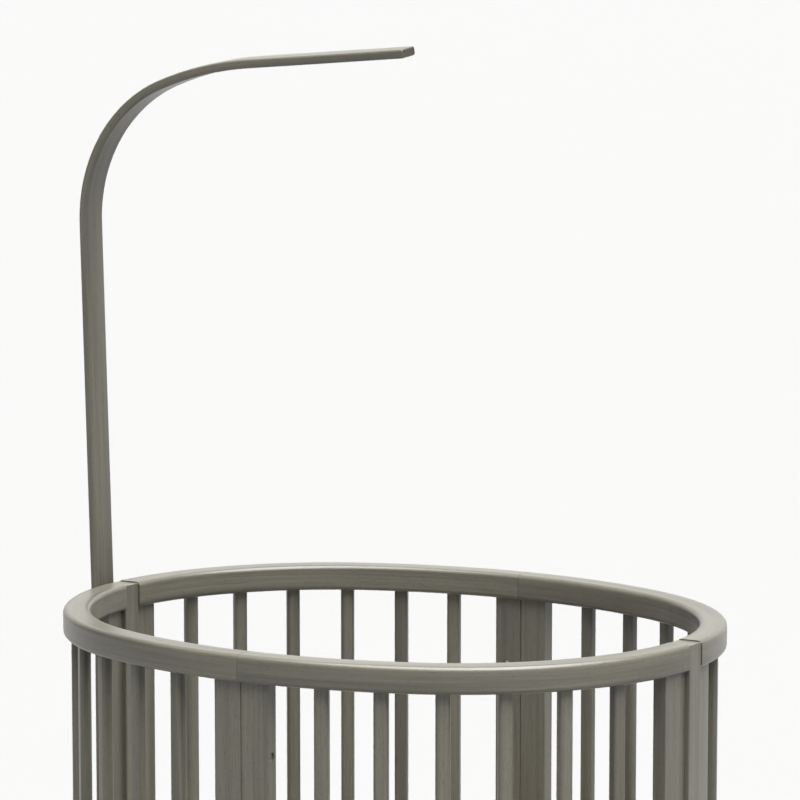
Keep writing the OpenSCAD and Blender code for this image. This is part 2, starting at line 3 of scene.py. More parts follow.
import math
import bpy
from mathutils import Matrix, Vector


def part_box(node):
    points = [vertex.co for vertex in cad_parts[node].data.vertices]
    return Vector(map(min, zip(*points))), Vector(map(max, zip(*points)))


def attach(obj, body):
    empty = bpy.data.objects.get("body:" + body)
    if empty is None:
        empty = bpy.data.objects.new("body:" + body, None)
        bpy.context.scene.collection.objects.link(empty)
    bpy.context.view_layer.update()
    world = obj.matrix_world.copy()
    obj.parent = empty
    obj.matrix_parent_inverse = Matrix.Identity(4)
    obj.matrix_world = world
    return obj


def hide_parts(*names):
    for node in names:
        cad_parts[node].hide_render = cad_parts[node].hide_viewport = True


bl_info = {
    "name": "Oval Cradle",
    "version": (1, 0, 0),
    "blender": (4, 5, 0),
    "location": "View3D > Sidebar > Cradle",
    "description": "Makes the visible pieces of an oval slatted cradle, and its studio",
    "category": "Object",
}

import bmesh
import bpy
from mathutils import Matrix, Vector

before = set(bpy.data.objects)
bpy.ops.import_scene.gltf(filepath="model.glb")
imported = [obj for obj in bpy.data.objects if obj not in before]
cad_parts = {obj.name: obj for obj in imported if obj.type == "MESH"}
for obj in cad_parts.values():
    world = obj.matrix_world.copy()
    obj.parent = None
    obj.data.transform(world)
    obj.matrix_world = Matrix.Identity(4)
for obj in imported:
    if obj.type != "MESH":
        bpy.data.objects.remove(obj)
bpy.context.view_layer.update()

# ---- Sizes that come from the frame, in metres ----

MM = 0.001
QUARTERS = {
    "front_right": (1, -1),
    "back_right": (1, 1),
    "back_left": (-1, 1),
    "front_left": (-1, -1),
}
CASTERS = {"foot": 90, "head": 270, "back": 180, "front": 0}
BRAKED = ("foot", "head")


def span(*nodes):
    """Lowest and highest corner of a group of CAD nodes."""
    boxes = [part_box(node) for node in nodes]
    low = Vector([min(box[0][i] for box in boxes) for i in range(3)])
    high = Vector([max(box[1][i] for box in boxes) for i in range(3)])
    return low, high


TOP = span(*["rail_top_" + q for q in QUARTERS])
LOW = span(*["rail_low_" + q for q in QUARTERS])
PANELS = span(*["side_panel_" + q for q in QUARTERS])
CENTRE_X = (TOP[0].x + TOP[1].x) / 2
HALF_LEN = (TOP[1].x - TOP[0].x) / 2
HALF_WID = (TOP[1].y - TOP[0].y) / 2
RIM_TOP = TOP[1].z
RAIL_H = TOP[1].z - TOP[0].z
RAIL_Z = TOP[0].z
LEG_Z = PANELS[0].z

# The oval's four arcs: end arcs about (+-END_C, 0) and side arcs about (0, +-SIDE_C)
END_R = 318.75 * MM
END_C = HALF_LEN - END_R
SIDE_R = (END_C**2 + HALF_WID**2 - END_R**2) / (2 * (HALF_WID - END_R))
SIDE_C = SIDE_R - HALF_WID
JOIN = math.atan2(SIDE_C, END_C)

RAIL_W = 33 * MM
END_MID = END_R - RAIL_W / 2
SIDE_MID = SIDE_R - RAIL_W / 2
END_ARC = END_MID * JOIN
SIDE_ARC = SIDE_MID * (math.pi / 2 - JOIN)

# Half the seam between two rails, the seam between a post and a back rail, and the step from
# the rim down to a post
GAP = 0.15 * MM
POST_GAP = 0.2 * MM
POST_LOW = 1.4 * MM

PANEL_IN = 7 * MM
PANEL_T = 19 * MM
PANEL_W = 38 * MM
SIDE_PANEL_W = 36 * MM
POST_W = 28 * MM
SLATS = 6
SLAT_W = 17 * MM
SLAT_D = 14 * MM
SLAT_PITCH = 70 * MM
SLAT_FIRST = 98 * MM
TENON = 12 * MM

# Bolts that draw the panels together: radii of their bores, and how far the bores reach
BOLT_HEIGHTS = (763 * MM, 545 * MM, 320 * MM)
BOLT_BORE = 3.2 * MM
HEAD_BORE = 5.3 * MM
NUT_BORE = 5.1 * MM
HEAD_DEEP = 6 * MM
PAST_FACE = 9 * MM
PAST_NUT = 8 * MM
NUT_OFF = 20 * MM
END_BOLT_IN = 1.5 * MM
END_HEAD_IN = 2.6 * MM
SIDE_HEAD_IN = 0.6 * MM


# ---- What a user would change ----


class CradleSizes(bpy.types.PropertyGroup):
    rail_round: bpy.props.FloatProperty(
        name="Rail rounding",
        description="Radius of the rails' long edges",
        default=6 * MM,
        min=1 * MM,
        max=8 * MM,
        unit="LENGTH",
    )
    slat_round: bpy.props.FloatProperty(
        name="Slat rounding",
        description="Radius of the slats' long edges",
        default=5 * MM,
        min=1 * MM,
        max=7 * MM,
        unit="LENGTH",
    )
    panel_round: bpy.props.FloatProperty(
        name="Panel rounding",
        description="Radius of the panels' upright edges",
        default=1.6 * MM,
        min=0.5 * MM,
        max=6 * MM,
        unit="LENGTH",
    )
    seam_bevel: bpy.props.FloatProperty(
        name="Seam bevel",
        description="Small bevel round each rail end, which makes the seams",
        default=0.4 * MM,
        min=0.2 * MM,
        max=2 * MM,
        unit="LENGTH",
    )
    rod_twist: bpy.props.FloatProperty(
        name="Rod twist",
        description="How far the canopy rod's arm is twisted at its tip",
        default=math.radians(7),
        min=0,
        max=math.radians(12),
        subtype="ANGLE",
    )


class CradleColours(bpy.types.PropertyGroup):
    stain_dark: bpy.props.FloatVectorProperty(
        name="Stain, dark",
        description="Darker tone of the grey stain",
        default=(0.062, 0.0592, 0.0460),
        size=3,
        min=0,
        max=1,
        subtype="COLOR",
    )
    stain_light: bpy.props.FloatVectorProperty(
        name="Stain, light",
        description="Lighter tone of the grey stain",
        default=(0.116, 0.1095, 0.0845),
        size=3,
        min=0,
        max=1,
        subtype="COLOR",
    )
    board: bpy.props.FloatVectorProperty(
        name="Board",
        description="Face veneer of the mattress base",
        default=(0.245, 0.205, 0.150),
        size=3,
        min=0,
        max=1,
        subtype="COLOR",
    )
    plastic: bpy.props.FloatVectorProperty(
        name="Plastic",
        description="Moulded parts of the casters",
        default=(0.055, 0.055, 0.054),
        size=3,
        min=0,
        max=1,
        subtype="COLOR",
    )
    floor: bpy.props.FloatVectorProperty(
        name="Floor",
        description="The floor, near white under the overhead glow",
        default=(0.246, 0.246, 0.2445),
        size=3,
        min=0,
        max=1,
        subtype="COLOR",
    )


def sizes():
    return bpy.context.scene.cradle_sizes


def colours():
    return bpy.context.scene.cradle_colours


# ---- Materials ----


class Value:
    """A number or vector that varies over a surface. Arithmetic on it adds nodes."""

    def __init__(self, finish, socket):
        self.finish = finish
        self.socket = socket

    def maths(self, operation, *others):
        values = dict(enumerate((self,) + others))
        made = self.finish.node("ShaderNodeMath", {"operation": operation}, values)
        return Value(self.finish, made.outputs[0])

    def __add__(self, other):
        return self.maths("ADD", other)

    __radd__ = __add__

    def __sub__(self, other):
        return self.maths("SUBTRACT", other)

    def __rsub__(self, other):
        return (self * -1) + other

    def __mul__(self, other):
        return self.maths("MULTIPLY", other)

    __rmul__ = __mul__

    def __pow__(self, other):
        return self.maths("POWER", other)

    def between(self, low, high):
        """0 below low, 1 above high, and smooth in between."""
        made = self.finish.node(
            "ShaderNodeMapRange",
            {"interpolation_type": "SMOOTHSTEP", "clamp": True},
            {"Value": self, "From Min": low, "From Max": high},
        )
        return Value(self.finish, made.outputs["Result"])


class Finish:
    """A material, or the studio's surroundings, and the nodes in it."""

    def __init__(self, owner):
        owner.use_nodes = True
        self.owner = owner
        self.tree = owner.node_tree
        self.tree.nodes.clear()

    def node(self, kind, settings=None, sockets=None):
        made = self.tree.nodes.new(kind)
        for name, value in (settings or {}).items():
            if name == "stops":
                self.set_stops(made.color_ramp, value)
            else:
                setattr(made, name, value)
        for name, value in (sockets or {}).items():
            if isinstance(value, Value):
                value = value.socket
            if isinstance(value, bpy.types.NodeSocket):
                self.tree.links.new(value, made.inputs[name])
            else:
                made.inputs[name].default_value = value
        return made

    def set_stops(self, ramp, stops):
        while len(ramp.elements) < len(stops):
            ramp.elements.new(1)
        for element, (position, colour) in zip(ramp.elements, stops):
            element.position = position
            element.color = (*colour, 1)

    def value(self, kind, settings, sockets, output):
        return Value(self, self.node(kind, settings, sockets).outputs[output])

    def place(self):
        return self.value("ShaderNodeTexCoord", {}, {}, "Object")

    def grain(self):
        return self.value(
            "ShaderNodeAttribute", {"attribute_name": "grain"}, {}, "Vector"
        )

    def stretched(self, vector, scale, offset=(0, 0, 0)):
        return self.value(
            "ShaderNodeMapping",
            {"vector_type": "POINT"},
            {"Vector": vector, "Scale": scale, "Location": offset},
            "Vector",
        )

    def noise(self, vector, scale, detail=2, roughness=0.5, distortion=0):
        return self.value(
            "ShaderNodeTexNoise",
            {},
            {
                "Vector": vector,
                "Scale": scale,
                "Detail": detail,
                "Roughness": roughness,
                "Distortion": distortion,
            },
            "Fac",
        )

    def blend(self, factor, first, second):
        """Colour that goes from first to second."""
        made = self.node(
            "ShaderNodeMix",
            {"data_type": "RGBA"},
            {0: factor, 6: self.colour(first), 7: self.colour(second)},
        )
        return Value(self, made.outputs[2])

    def colour(self, tone):
        return tone if isinstance(tone, Value) else (*tone, 1)

    def bump(self, height, strength, distance):
        return self.value(
            "ShaderNodeBump",
            {},
            {"Height": height, "Strength": strength, "Distance": distance},
            "Normal",
        )

    def surface(self, sockets):
        shader = self.node("ShaderNodeBsdfPrincipled", {}, sockets)
        self.node(
            "ShaderNodeOutputMaterial", {}, {"Surface": shader.outputs["BSDF"]}
        )
        return self.owner


def new_finish(name):
    return Finish(bpy.data.materials.new(name))


def shade(tone, share):
    """A colour made darker, or lighter where the share is above 1."""
    return [c * share for c in tone]


# Colours that follow from the kind of wood, metal and rubber
BEECH_DARK, BEECH_LIGHT = (0.26, 0.18, 0.11), (0.36, 0.26, 0.17)
BEECH_FLECK = (0.33, 0.20, 0.11)
ZINC_COOL, ZINC_WARM = (0.50, 0.51, 0.53), (0.68, 0.67, 0.63)
RUBBER_CLEAN, RUBBER_DUSTY = (0.030, 0.030, 0.031), (0.085, 0.083, 0.078)
PLY_PAIR = 2.4 * MM


def stained_beech():
    """Beech under a grey stain and a satin lacquer. The grain runs along each piece."""
    f = new_finish("stained_beech")
    grain = f.grain()
    cloud = f.noise(f.stretched(grain, (9, 9, 1.3)), 1, 3, 0.55)
    band = f.noise(f.stretched(grain, (75, 75, 1.6)), 1, 4, 0.6, 0.4)
    streak = f.noise(f.stretched(grain, (420, 420, 7)), 1, 3, 0.6)
    pore = f.noise(f.stretched(grain, (1500, 1500, 55)), 1, 2, 0.5)
    fleck = f.noise(f.stretched(grain, (700, 700, 190), (3, 1, 2)), 1, 1, 0.4)
    flecks = fleck.between(0.62, 0.70)
    pores = (1 - pore.between(0.30, 0.40)) * 0.55
    tone = cloud * 0.70 + band * 1.15 + streak * 0.60 - 0.725
    dark, light = colours().stain_dark, colours().stain_light
    stain = f.blend(tone.between(0.15, 0.85), dark, light)
    stain = f.blend(pores, stain, shade(dark, 0.55))
    stain = f.blend(flecks * 0.35, stain, shade(dark, 0.70))
    cut = f.value("ShaderNodeAttribute", {"attribute_name": "end_grain"}, {}, "Fac")
    stain = f.blend(cut * 0.75, stain, shade(dark, 0.45))
    rough = 0.29 + band * 0.08 + pores * 0.12
    relief = streak * 0.4 - pores * 1.0 - flecks * 0.3
    return f.surface(
        {
            "Base Color": stain,
            "Roughness": rough,
            "IOR": 1.5,
            "Normal": f.bump(relief, 0.25, 0.00012),
        }
    )


def plywood():
    """Lacquered birch plywood: veneer with a faint figure, and plies that show at the edge."""
    f = new_finish("plywood")
    place = f.place()
    figure = f.noise(f.stretched(place, (3, 46, 3)), 1, 4, 0.6, 0.6)
    fibre = f.noise(f.stretched(place, (16, 900, 900)), 1, 3, 0.55)
    height = f.value("ShaderNodeSeparateXYZ", {}, {"Vector": place}, "Z")
    ply = (height * (2 * math.pi / PLY_PAIR)).maths("SINE").between(-0.25, 0.25)
    face = colours().board
    tone = (figure * 0.7 + fibre * 0.5).between(0.30, 0.90)
    veneer = f.blend(tone, shade(face, 0.80), face)
    veneer = f.blend(ply * 0.35, veneer, shade(face, 0.55))
    return f.surface(
        {
            "Base Color": veneer,
            "Roughness": 0.40 + fibre * 0.12,
            "Normal": f.bump(fibre, 0.15, 0.0001),
        }
    )


def bare_beech():
    """Unstained beech of the dowels and battens."""
    f = new_finish("bare_beech")
    place = f.place()
    fibre = f.noise(f.stretched(place, (14, 700, 700)), 1, 4, 0.6)
    fleck = f.noise(f.stretched(place, (160, 900, 900)), 1, 1, 0.4).between(0.60, 0.68)
    wood = f.blend(fibre.between(0.3, 0.8), BEECH_DARK, BEECH_LIGHT)
    wood = f.blend(fleck * 0.5, wood, BEECH_FLECK)
    return f.surface(
        {
            "Base Color": wood,
            "Roughness": 0.50 + fibre * 0.15,
            "Normal": f.bump(fibre, 0.2, 0.0001),
        }
    )


def zinc_steel():
    """Zinc-plated steel, with the plating's faint clouds and rubbed spots."""
    f = new_finish("zinc_steel")
    place = f.place()
    cloud = f.noise(place, 130, 3, 0.6)
    spangle = f.noise(place, 900, 2, 0.5)
    tint = f.blend(cloud.between(0.35, 0.7), ZINC_COOL, ZINC_WARM)
    return f.surface(
        {
            "Base Color": tint,
            "Metallic": 1.0,
            "Roughness": 0.26 + cloud * 0.12 + spangle * 0.10,
            "Normal": f.bump(spangle, 0.08, 0.00004),
        }
    )


def moulded_plastic():
    """Nylon with a fine spark-eroded texture and light scuffs."""
    f = new_finish("moulded_plastic")
    place = f.place()
    texture = f.noise(place, 2600, 2, 0.6)
    scuff = f.noise(f.stretched(place, (60, 60, 240)), 1, 4, 0.65).between(0.60, 0.78)
    tone = colours().plastic
    skin = f.blend(scuff * 0.5, tone, shade(tone, 1.9))
    return f.surface(
        {
            "Base Color": skin,
            "Roughness": 0.42 + texture * 0.14 + scuff * 0.1,
            "Normal": f.bump(texture, 0.22, 0.00006),
        }
    )


def caster_rubber():
    """Soft grey rubber tread, dusty where it has rolled."""
    f = new_finish("caster_rubber")
    place = f.place()
    skin = f.noise(place, 1400, 3, 0.6)
    dust = f.noise(place, 90, 4, 0.65).between(0.48, 0.75)
    tone = f.blend(dust * 0.6, RUBBER_CLEAN, RUBBER_DUSTY)
    return f.surface(
        {
            "Base Color": tone,
            "Roughness": 0.72 + skin * 0.15,
            "Normal": f.bump(skin, 0.25, 0.00008),
        }
    )


FINISHES = {}


def finish(maker):
    """Each finish is made once and shared."""
    if maker not in FINISHES:
        FINISHES[maker] = maker()
    return FINISHES[maker]


# ---- Shaping ----

# Distances under which points are one point, and heights are the same height
SAME = 1e-7
EVEN = 1e-6


def rounded_face(bm, width, depth, radius, steps, middle=(0, 0, 0)):
    """A flat rectangle with rounded corners, width along X and depth along Y."""
    made = bmesh.ops.create_grid(bm, x_segments=1, y_segments=1, size=0.5)
    corners = made["verts"]
    bmesh.ops.scale(bm, vec=(width, depth, 1), verts=corners)
    bmesh.ops.translate(bm, vec=middle, verts=corners)
    bmesh.ops.bevel(
        bm,
        geom=corners,
        offset=radius,
        segments=steps,
        profile=0.5,
        affect="VERTICES",
        material=-1,
    )
    bm.faces.ensure_lookup_table()
    return bm.faces[-1]


def raise_face(bm, face, height):
    """Pulls a flat face up into a solid."""
    made = bmesh.ops.extrude_face_region(bm, geom=[face])
    top = [g for g in made["geom"] if isinstance(g, bmesh.types.BMVert)]
    bmesh.ops.translate(bm, vec=(0, 0, height), verts=top)


def fill_ends(bm):
    """Closes the open ends of a sweep, and returns the faces that do."""
    made = bmesh.ops.holes_fill(
        bm, edges=[e for e in bm.edges if e.is_boundary], sides=0
    )
    return made["faces"]


def edges_of(parts, link="edges"):
    """The edges of some faces, or of some vertices with link_edges, each once and in order."""
    return list(dict.fromkeys(e for part in parts for e in getattr(part, link)))


def cut_off(bm, point, away):
    """Removes what lies on the side of a plane that away points from."""
    bmesh.ops.bisect_plane(
        bm,
        geom=bm.verts[:] + bm.edges[:] + bm.faces[:],
        dist=SAME,
        plane_co=point,
        plane_no=away,
        clear_inner=True,
    )


def round_edges(bm, edges, radius, steps=2):
    bmesh.ops.bevel(
        bm,
        geom=edges,
        offset=radius,
        segments=steps,
        profile=0.5,
        affect="EDGES",
        material=-1,
        clamp_overlap=True,
    )


def any_edge(edge):
    return True


def is_upright(edge):
    run = edge.verts[1].co - edge.verts[0].co
    return abs(run.z) > 0.9 * run.length


def is_level(edge):
    return abs(edge.verts[0].co.z - edge.verts[1].co.z) < EVEN


def sharp(bm, least, keep=any_edge):
    """The edges where two faces meet at more than least degrees."""
    return [
        e
        for e in bm.edges
        if len(e.link_faces) == 2
        and e.calc_face_angle(0) > math.radians(least)
        and keep(e)
    ]


def turn_outline(bm, outline, steps):
    """Turns a closed outline of (radius, height) points into a round solid about Z."""
    verts = [bm.verts.new((r, 0, h)) for r, h in outline]
    edges = [bm.edges.new((verts[i - 1], verts[i])) for i in range(len(verts))]
    bmesh.ops.spin(
        bm,
        geom=verts + edges,
        cent=(0, 0, 0),
        axis=(0, 0, 1),
        angle=2 * math.pi,
        steps=steps,
        use_merge=True,
        use_duplicate=False,
    )
    bmesh.ops.remove_doubles(bm, verts=bm.verts[:], dist=SAME)
    bmesh.ops.recalc_face_normals(bm, faces=bm.faces[:])


def block(bm, low, high, radius=0.0, steps=2):
    """A box between two corners, its edges rounded."""
    low, high = Vector(low), Vector(high)
    made = bmesh.ops.create_cube(bm, size=1)
    bmesh.ops.scale(bm, vec=high - low, verts=made["verts"])
    bmesh.ops.translate(bm, vec=(low + high) / 2, verts=made["verts"])
    if radius:
        round_edges(bm, edges_of(made["verts"], "link_edges"), radius, steps)


def rod_between(bm, start, end, radius, steps=32):
    """A round pin from start to end."""
    start, end = Vector(start), Vector(end)
    run = end - start
    turn = run.to_track_quat("Z", "Y").to_matrix().to_4x4()
    bmesh.ops.create_cone(
        bm,
        cap_ends=True,
        segments=steps,
        radius1=radius,
        radius2=radius,
        depth=run.length,
        matrix=Matrix.Translation((start + end) / 2) @ turn,
    )


def join_in(target, source, matrix=Matrix.Identity(4)):
    """Adds a copy of one mesh to another, moved by a matrix."""
    bmesh.ops.transform(source, matrix=matrix, verts=source.verts[:])
    mesh = bpy.data.meshes.new("part")
    source.to_mesh(mesh)
    source.free()
    target.from_mesh(mesh)
    bpy.data.meshes.remove(mesh)


def to_object(name, bm):
    """Ends a mesh's making, and puts it in the scene as an object."""
    bmesh.ops.recalc_face_normals(bm, faces=bm.faces[:])
    mesh = bpy.data.meshes.new(name)
    bm.to_mesh(mesh)
    bm.free()
    made = bpy.data.objects.new(name, mesh)
    bpy.context.scene.collection.objects.link(made)
    return made


def carve(piece, cutter):
    """Cuts the cutter's solids out of a piece."""
    tool = to_object("cutter", cutter)
    cut = piece.modifiers.new("cut", "BOOLEAN")
    cut.operation = "DIFFERENCE"
    cut.solver = "EXACT"
    cut.object = tool
    evaluated = piece.evaluated_get(bpy.context.evaluated_depsgraph_get())
    old, mesh = piece.data, bpy.data.meshes.new_from_object(evaluated)
    piece.modifiers.clear()
    piece.data = mesh
    mesh.name = piece.name
    bpy.data.meshes.remove(old)
    tool_mesh = tool.data
    bpy.data.objects.remove(tool)
    bpy.data.meshes.remove(tool_mesh)


def grain_along(piece, rule):
    """Stores each point's place in the wood: across, through and along the grain."""
    mesh = piece.data
    store = mesh.attributes.new("grain", "FLOAT_VECTOR", "POINT")
    values = [c for v in mesh.vertices for c in rule(v.co)]
    store.data.foreach_set("vector", values)


def complete(piece, maker, body, nodes, crease=38):
    """Gives a piece its finish and smooth shading, and puts it on its body."""
    mesh = piece.data
    mesh.materials.clear()
    mesh.materials.append(finish(maker))
    mesh.shade_smooth()
    mesh.set_sharp_from_angle(angle=math.radians(crease))
    weighted = piece.modifiers.new("even_shading", "WEIGHTED_NORMAL")
    weighted.keep_sharp = True
    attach(piece, body)
    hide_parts(*nodes)


def upright_grain(seed):
    """Grain that stands upright."""

    def rule(p):
        return (p.x + seed, p.y + seed / 2, p.z + seed)

    return rule


def lying_grain(seed, along_x):
    """Grain that lies along X or along Y."""

    def rule(p):
        if along_x:
            return (p.y + seed, p.z, p.x)
        return (p.x + seed, p.z, p.y)

    return rule


def oval_grain(seed):
    """Grain that follows the bent rails."""

    def rule(p):
        x, y = abs(p.x - CENTRE_X), abs(p.y)
        turn = math.atan2(y, x - END_C)
        if turn < JOIN:
            return (END_R - math.hypot(x - END_C, y) + seed, p.z, END_MID * turn)
        lean = math.atan2(x, y + SIDE_C)
        along = END_ARC + SIDE_ARC - SIDE_MID * lean
        return (SIDE_R - math.hypot(x, y + SIDE_C) + seed, p.z, along)

    return rule


def to_quarter(bm, quarter):
    """Moves a shape drawn in the first quarter to its own."""
    sx, sy = QUARTERS[quarter]
    bmesh.ops.scale(bm, vec=(sx, sy, 1), verts=bm.verts[:])
    bmesh.ops.translate(bm, vec=(CENTRE_X, 0, 0), verts=bm.verts[:])


def seed_of(name):
    """A different stretch of wood for each name, the same on every run."""
    return sum((i + 1) * ord(c) for i, c in enumerate(name)) % 97 * 0.37


def stained_piece(name, bm, rule, cutter=None):
    """Makes a stained piece of the cradle from its mesh, less what the cutter takes out."""
    piece = to_object("beech_" + name, bm)
    if cutter is not None:
        carve(piece, cutter)
    grain_along(piece, rule)
    complete(piece, stained_beech, "cradle", [name])


# ---- Wooden pieces ----


def rail_sweep(bottom, seam):
    """A quarter of the oval rail: a rounded section carried round both arcs."""
    bm = bmesh.new()
    rounded_face(bm, RAIL_W, RAIL_H, sizes().rail_round, 6)
    turn = Matrix.Rotation(math.pi / 2, 4, "X")
    place = Matrix.Translation((HALF_LEN - RAIL_W / 2, 0, bottom + RAIL_H / 2))
    bmesh.ops.transform(bm, matrix=place @ turn, verts=bm.verts[:])
    bmesh.ops.delete(bm, geom=bm.faces[:], context="FACES_ONLY")
    section = bm.verts[:] + bm.edges[:]
    for centre, angle, steps in (
        ((END_C, 0, 0), JOIN, 30),
        ((0, -SIDE_C, 0), math.pi / 2 - JOIN, 16),
    ):
        swept = bmesh.ops.spin(
            bm,
            geom=section,
            cent=centre,
            axis=(0, 0, 1),
            angle=angle,
            steps=steps,
            use_duplicate=False,
        )
        section = swept["geom_last"]
    for point, away in seam:
        cut_off(bm, point, away)
    ends = fill_ends(bm)
    round_edges(bm, edges_of(ends), sizes().seam_bevel)
    return bm


def radial_cut(centre, angle, sign):
    """The plane through an arc's centre at an angle from X."""
    return (centre, (-sign * math.sin(angle), sign * math.cos(angle), 0))


class CRADLE_OT_top_rails(bpy.types.Operator):
    """Makes the four quarters of the top rail"""

    bl_idname = "cradle.top_rails"
    bl_label = "Top rails"

    def execute(self, context):
        for quarter, (_, side) in QUARTERS.items():
            name = "rail_top_" + quarter
            gap = GAP if side < 0 else POST_GAP
            seam = [((0, POST_W / 2 + gap, 0), (0, 1, 0)), ((GAP, 0, 0), (1, 0, 0))]
            bm = rail_sweep(RAIL_Z, seam)
            to_quarter(bm, quarter)
            stained_piece(name, bm, oval_grain(seed_of(name)))
        return {"FINISHED"}


# Angles that the panels take up on the rail's arcs, and a bottom rail's play at each end
END_PANEL_A = (POST_W / 2 + PANEL_W) / END_MID
SIDE_PANEL_A = SIDE_PANEL_W / SIDE_MID
LOW_RAIL_PLAY = 0.0005


class CRADLE_OT_low_rails(bpy.types.Operator):
    """Makes the four quarters of the bottom rail, between the panels"""

    bl_idname = "cradle.low_rails"
    bl_label = "Bottom rails"

    def execute(self, context):
        side_end = math.pi / 2 - SIDE_PANEL_A - LOW_RAIL_PLAY
        seam = [
            radial_cut((END_C, 0, 0), END_PANEL_A + LOW_RAIL_PLAY, 1),
            radial_cut((0, -SIDE_C, 0), side_end, -1),
        ]
        for quarter in QUARTERS:
            name = "rail_low_" + quarter
            bm = rail_sweep(LOW[0].z, seam)
            to_quarter(bm, quarter)
            stained_piece(name, bm, oval_grain(seed_of(name)))
        return {"FINISHED"}


def panel_sweep(centre, outside, start, angle, trim):
    """A bent upright board: its flat section carried round part of an arc."""
    bm = bmesh.new()
    height = RAIL_Z - LEG_Z
    made = bmesh.ops.create_grid(bm, x_segments=1, y_segments=1, size=0.5)
    bmesh.ops.scale(bm, vec=(PANEL_T, height, 1), verts=made["verts"])
    turn = Matrix.Rotation(start, 4, "Z")
    stand = Matrix.Rotation(math.pi / 2, 4, "X")
    reach = Matrix.Translation(
        (outside - PANEL_IN - PANEL_T / 2, 0, LEG_Z + height / 2)
    )
    place = Matrix.Translation(centre) @ turn @ reach @ stand
    bmesh.ops.transform(bm, matrix=place, verts=bm.verts[:])
    bmesh.ops.delete(bm, geom=bm.faces[:], context="FACES_ONLY")
    bmesh.ops.spin(
        bm,
        geom=bm.verts[:] + bm.edges[:],
        cent=centre,
        axis=(0, 0, 1),
        angle=angle,
        steps=8,
        use_duplicate=False,
    )
    cut_off(bm, *trim)
    fill_ends(bm)
    bmesh.ops.recalc_face_normals(bm, faces=bm.faces[:])
    round_edges(bm, sharp(bm, 60, is_upright), sizes().panel_round, 4)
    return bm


def bolt_bores(quarter, at_end):
    """The bores for a panel's bolts and their heads, and for the barrel nuts of a side panel."""
    sx, sy = QUARTERS[quarter]
    if at_end:
        x = CENTRE_X + sx * (HALF_LEN - PANEL_IN - PANEL_T / 2 - END_BOLT_IN)
        face = POST_W / 2 + PANEL_W - END_HEAD_IN
        tip = -POST_W / 2 - NUT_OFF - PAST_NUT
        bores = [
            ((x, face - MM), (x, tip), BOLT_BORE),
            ((x, face - HEAD_DEEP), (x, face + PAST_FACE), HEAD_BORE),
        ]
    else:
        y = sy * (HALF_WID - PANEL_IN - PANEL_T / 2)
        face = CENTRE_X + SIDE_PANEL_W - SIDE_HEAD_IN
        nut = CENTRE_X - NUT_OFF
        bores = [
            ((nut - PAST_NUT, y), (face - MM, y), BOLT_BORE),
            ((face - HEAD_DEEP, y), (face + PAST_FACE, y), HEAD_BORE),
            ((nut, y - sy * 15 * MM), (nut, y + sy * 7 * MM), NUT_BORE),
        ]
    cutter = bmesh.new()
    for z in BOLT_HEIGHTS:
        for start, end, radius in bores:
            rod_between(cutter, (*start, z), (*end, z), radius)
    return cutter


class CRADLE_OT_panels(bpy.types.Operator):
    """Makes the eight upright panels, with their bolt bores"""

    bl_idname = "cradle.panels"
    bl_label = "Panels"

    def execute(self, context):
        for quarter in QUARTERS:
            side = panel_sweep(
                (0, -SIDE_C, 0),
                SIDE_R,
                math.pi / 2 - SIDE_PANEL_A,
                SIDE_PANEL_A,
                ((GAP, 0, 0), (1, 0, 0)),
            )
            end = panel_sweep(
                (END_C, 0, 0),
                END_R,
                0,
                END_PANEL_A,
                ((0, POST_W / 2 + GAP, 0), (0, 1, 0)),
            )
            for kind, bm in (("side_panel_", side), ("end_panel_", end)):
                name = kind + quarter
                to_quarter(bm, quarter)
                bores = bolt_bores(quarter, kind == "end_panel_")
                stained_piece(name, bm, upright_grain(seed_of(name)), bores)
        return {"FINISHED"}


def standing_block(low, high, radius, steps):
    """A block between two corners, with rounded upright edges."""
    bm = bmesh.new()
    middle = (low + high) / 2
    face = rounded_face(
        bm, high.x - low.x, high.y - low.y, radius, steps, (middle.x, middle.y, low.z)
    )
    raise_face(bm, face, high.z - low.z)
    bmesh.ops.recalc_face_normals(bm, faces=bm.faces[:])
    return bm


class CRADLE_OT_posts(bpy.types.Operator):
    """Makes the post at each end"""

    bl_idname = "cradle.posts"
    bl_label = "Posts"

    def execute(self, context):
        for name in ("post_foot", "post_head"):
            low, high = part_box(name)
            bm = standing_block(low, high - Vector((0, 0, POST_LOW)), 1.4 * MM, 4)
            top = [e for e in sharp(bm, 60, is_level) if e.verts[0].co.z > low.z + MM]
            round_edges(bm, top, 0.6 * MM, 3)
            bores = bolt_bores("back_right" if name == "post_foot" else "back_left", True)
            stained_piece(name, bm, upright_grain(seed_of(name)), bores)
        return {"FINISHED"}


def slat_place(s):
    """Place and direction of a slat, from its distance along the rail's middle."""
    if s < SIDE_ARC:
        turn = math.pi / 2 - s / SIDE_MID
        point = (SIDE_MID * math.cos(turn), SIDE_MID * math.sin(turn) - SIDE_C, 0)
    else:
        turn = JOIN - (s - SIDE_ARC) / END_MID
        point = (END_C + END_MID * math.cos(turn), END_MID * math.sin(turn), 0)
    return Matrix.Translation(point) @ Matrix.Rotation(turn, 4, "Z")


class CRADLE_OT_slats(bpy.types.Operator):
    """Makes the slats, six in each quarter"""

    bl_idname = "cradle.slats"
    bl_label = "Slats"

    def execute(self, context):
        bottom = LOW[1].z - TENON
        for quarter in QUARTERS:
            name = "slats_" + quarter
            whole = bmesh.new()
            for k in range(SLATS):
                bm = bmesh.new()
                face = rounded_face(bm, SLAT_D, SLAT_W, sizes().slat_round, 6)
                raise_face(bm, face, RAIL_Z + TENON - bottom)
                place = slat_place(SLAT_FIRST + k * SLAT_PITCH)
                join_in(whole, bm, Matrix.Translation((0, 0, bottom)) @ place)
            to_quarter(whole, quarter)
            stained_piece(name, whole, upright_grain(seed_of(name)))
        return {"FINISHED"}


# ---- Canopy rod ----

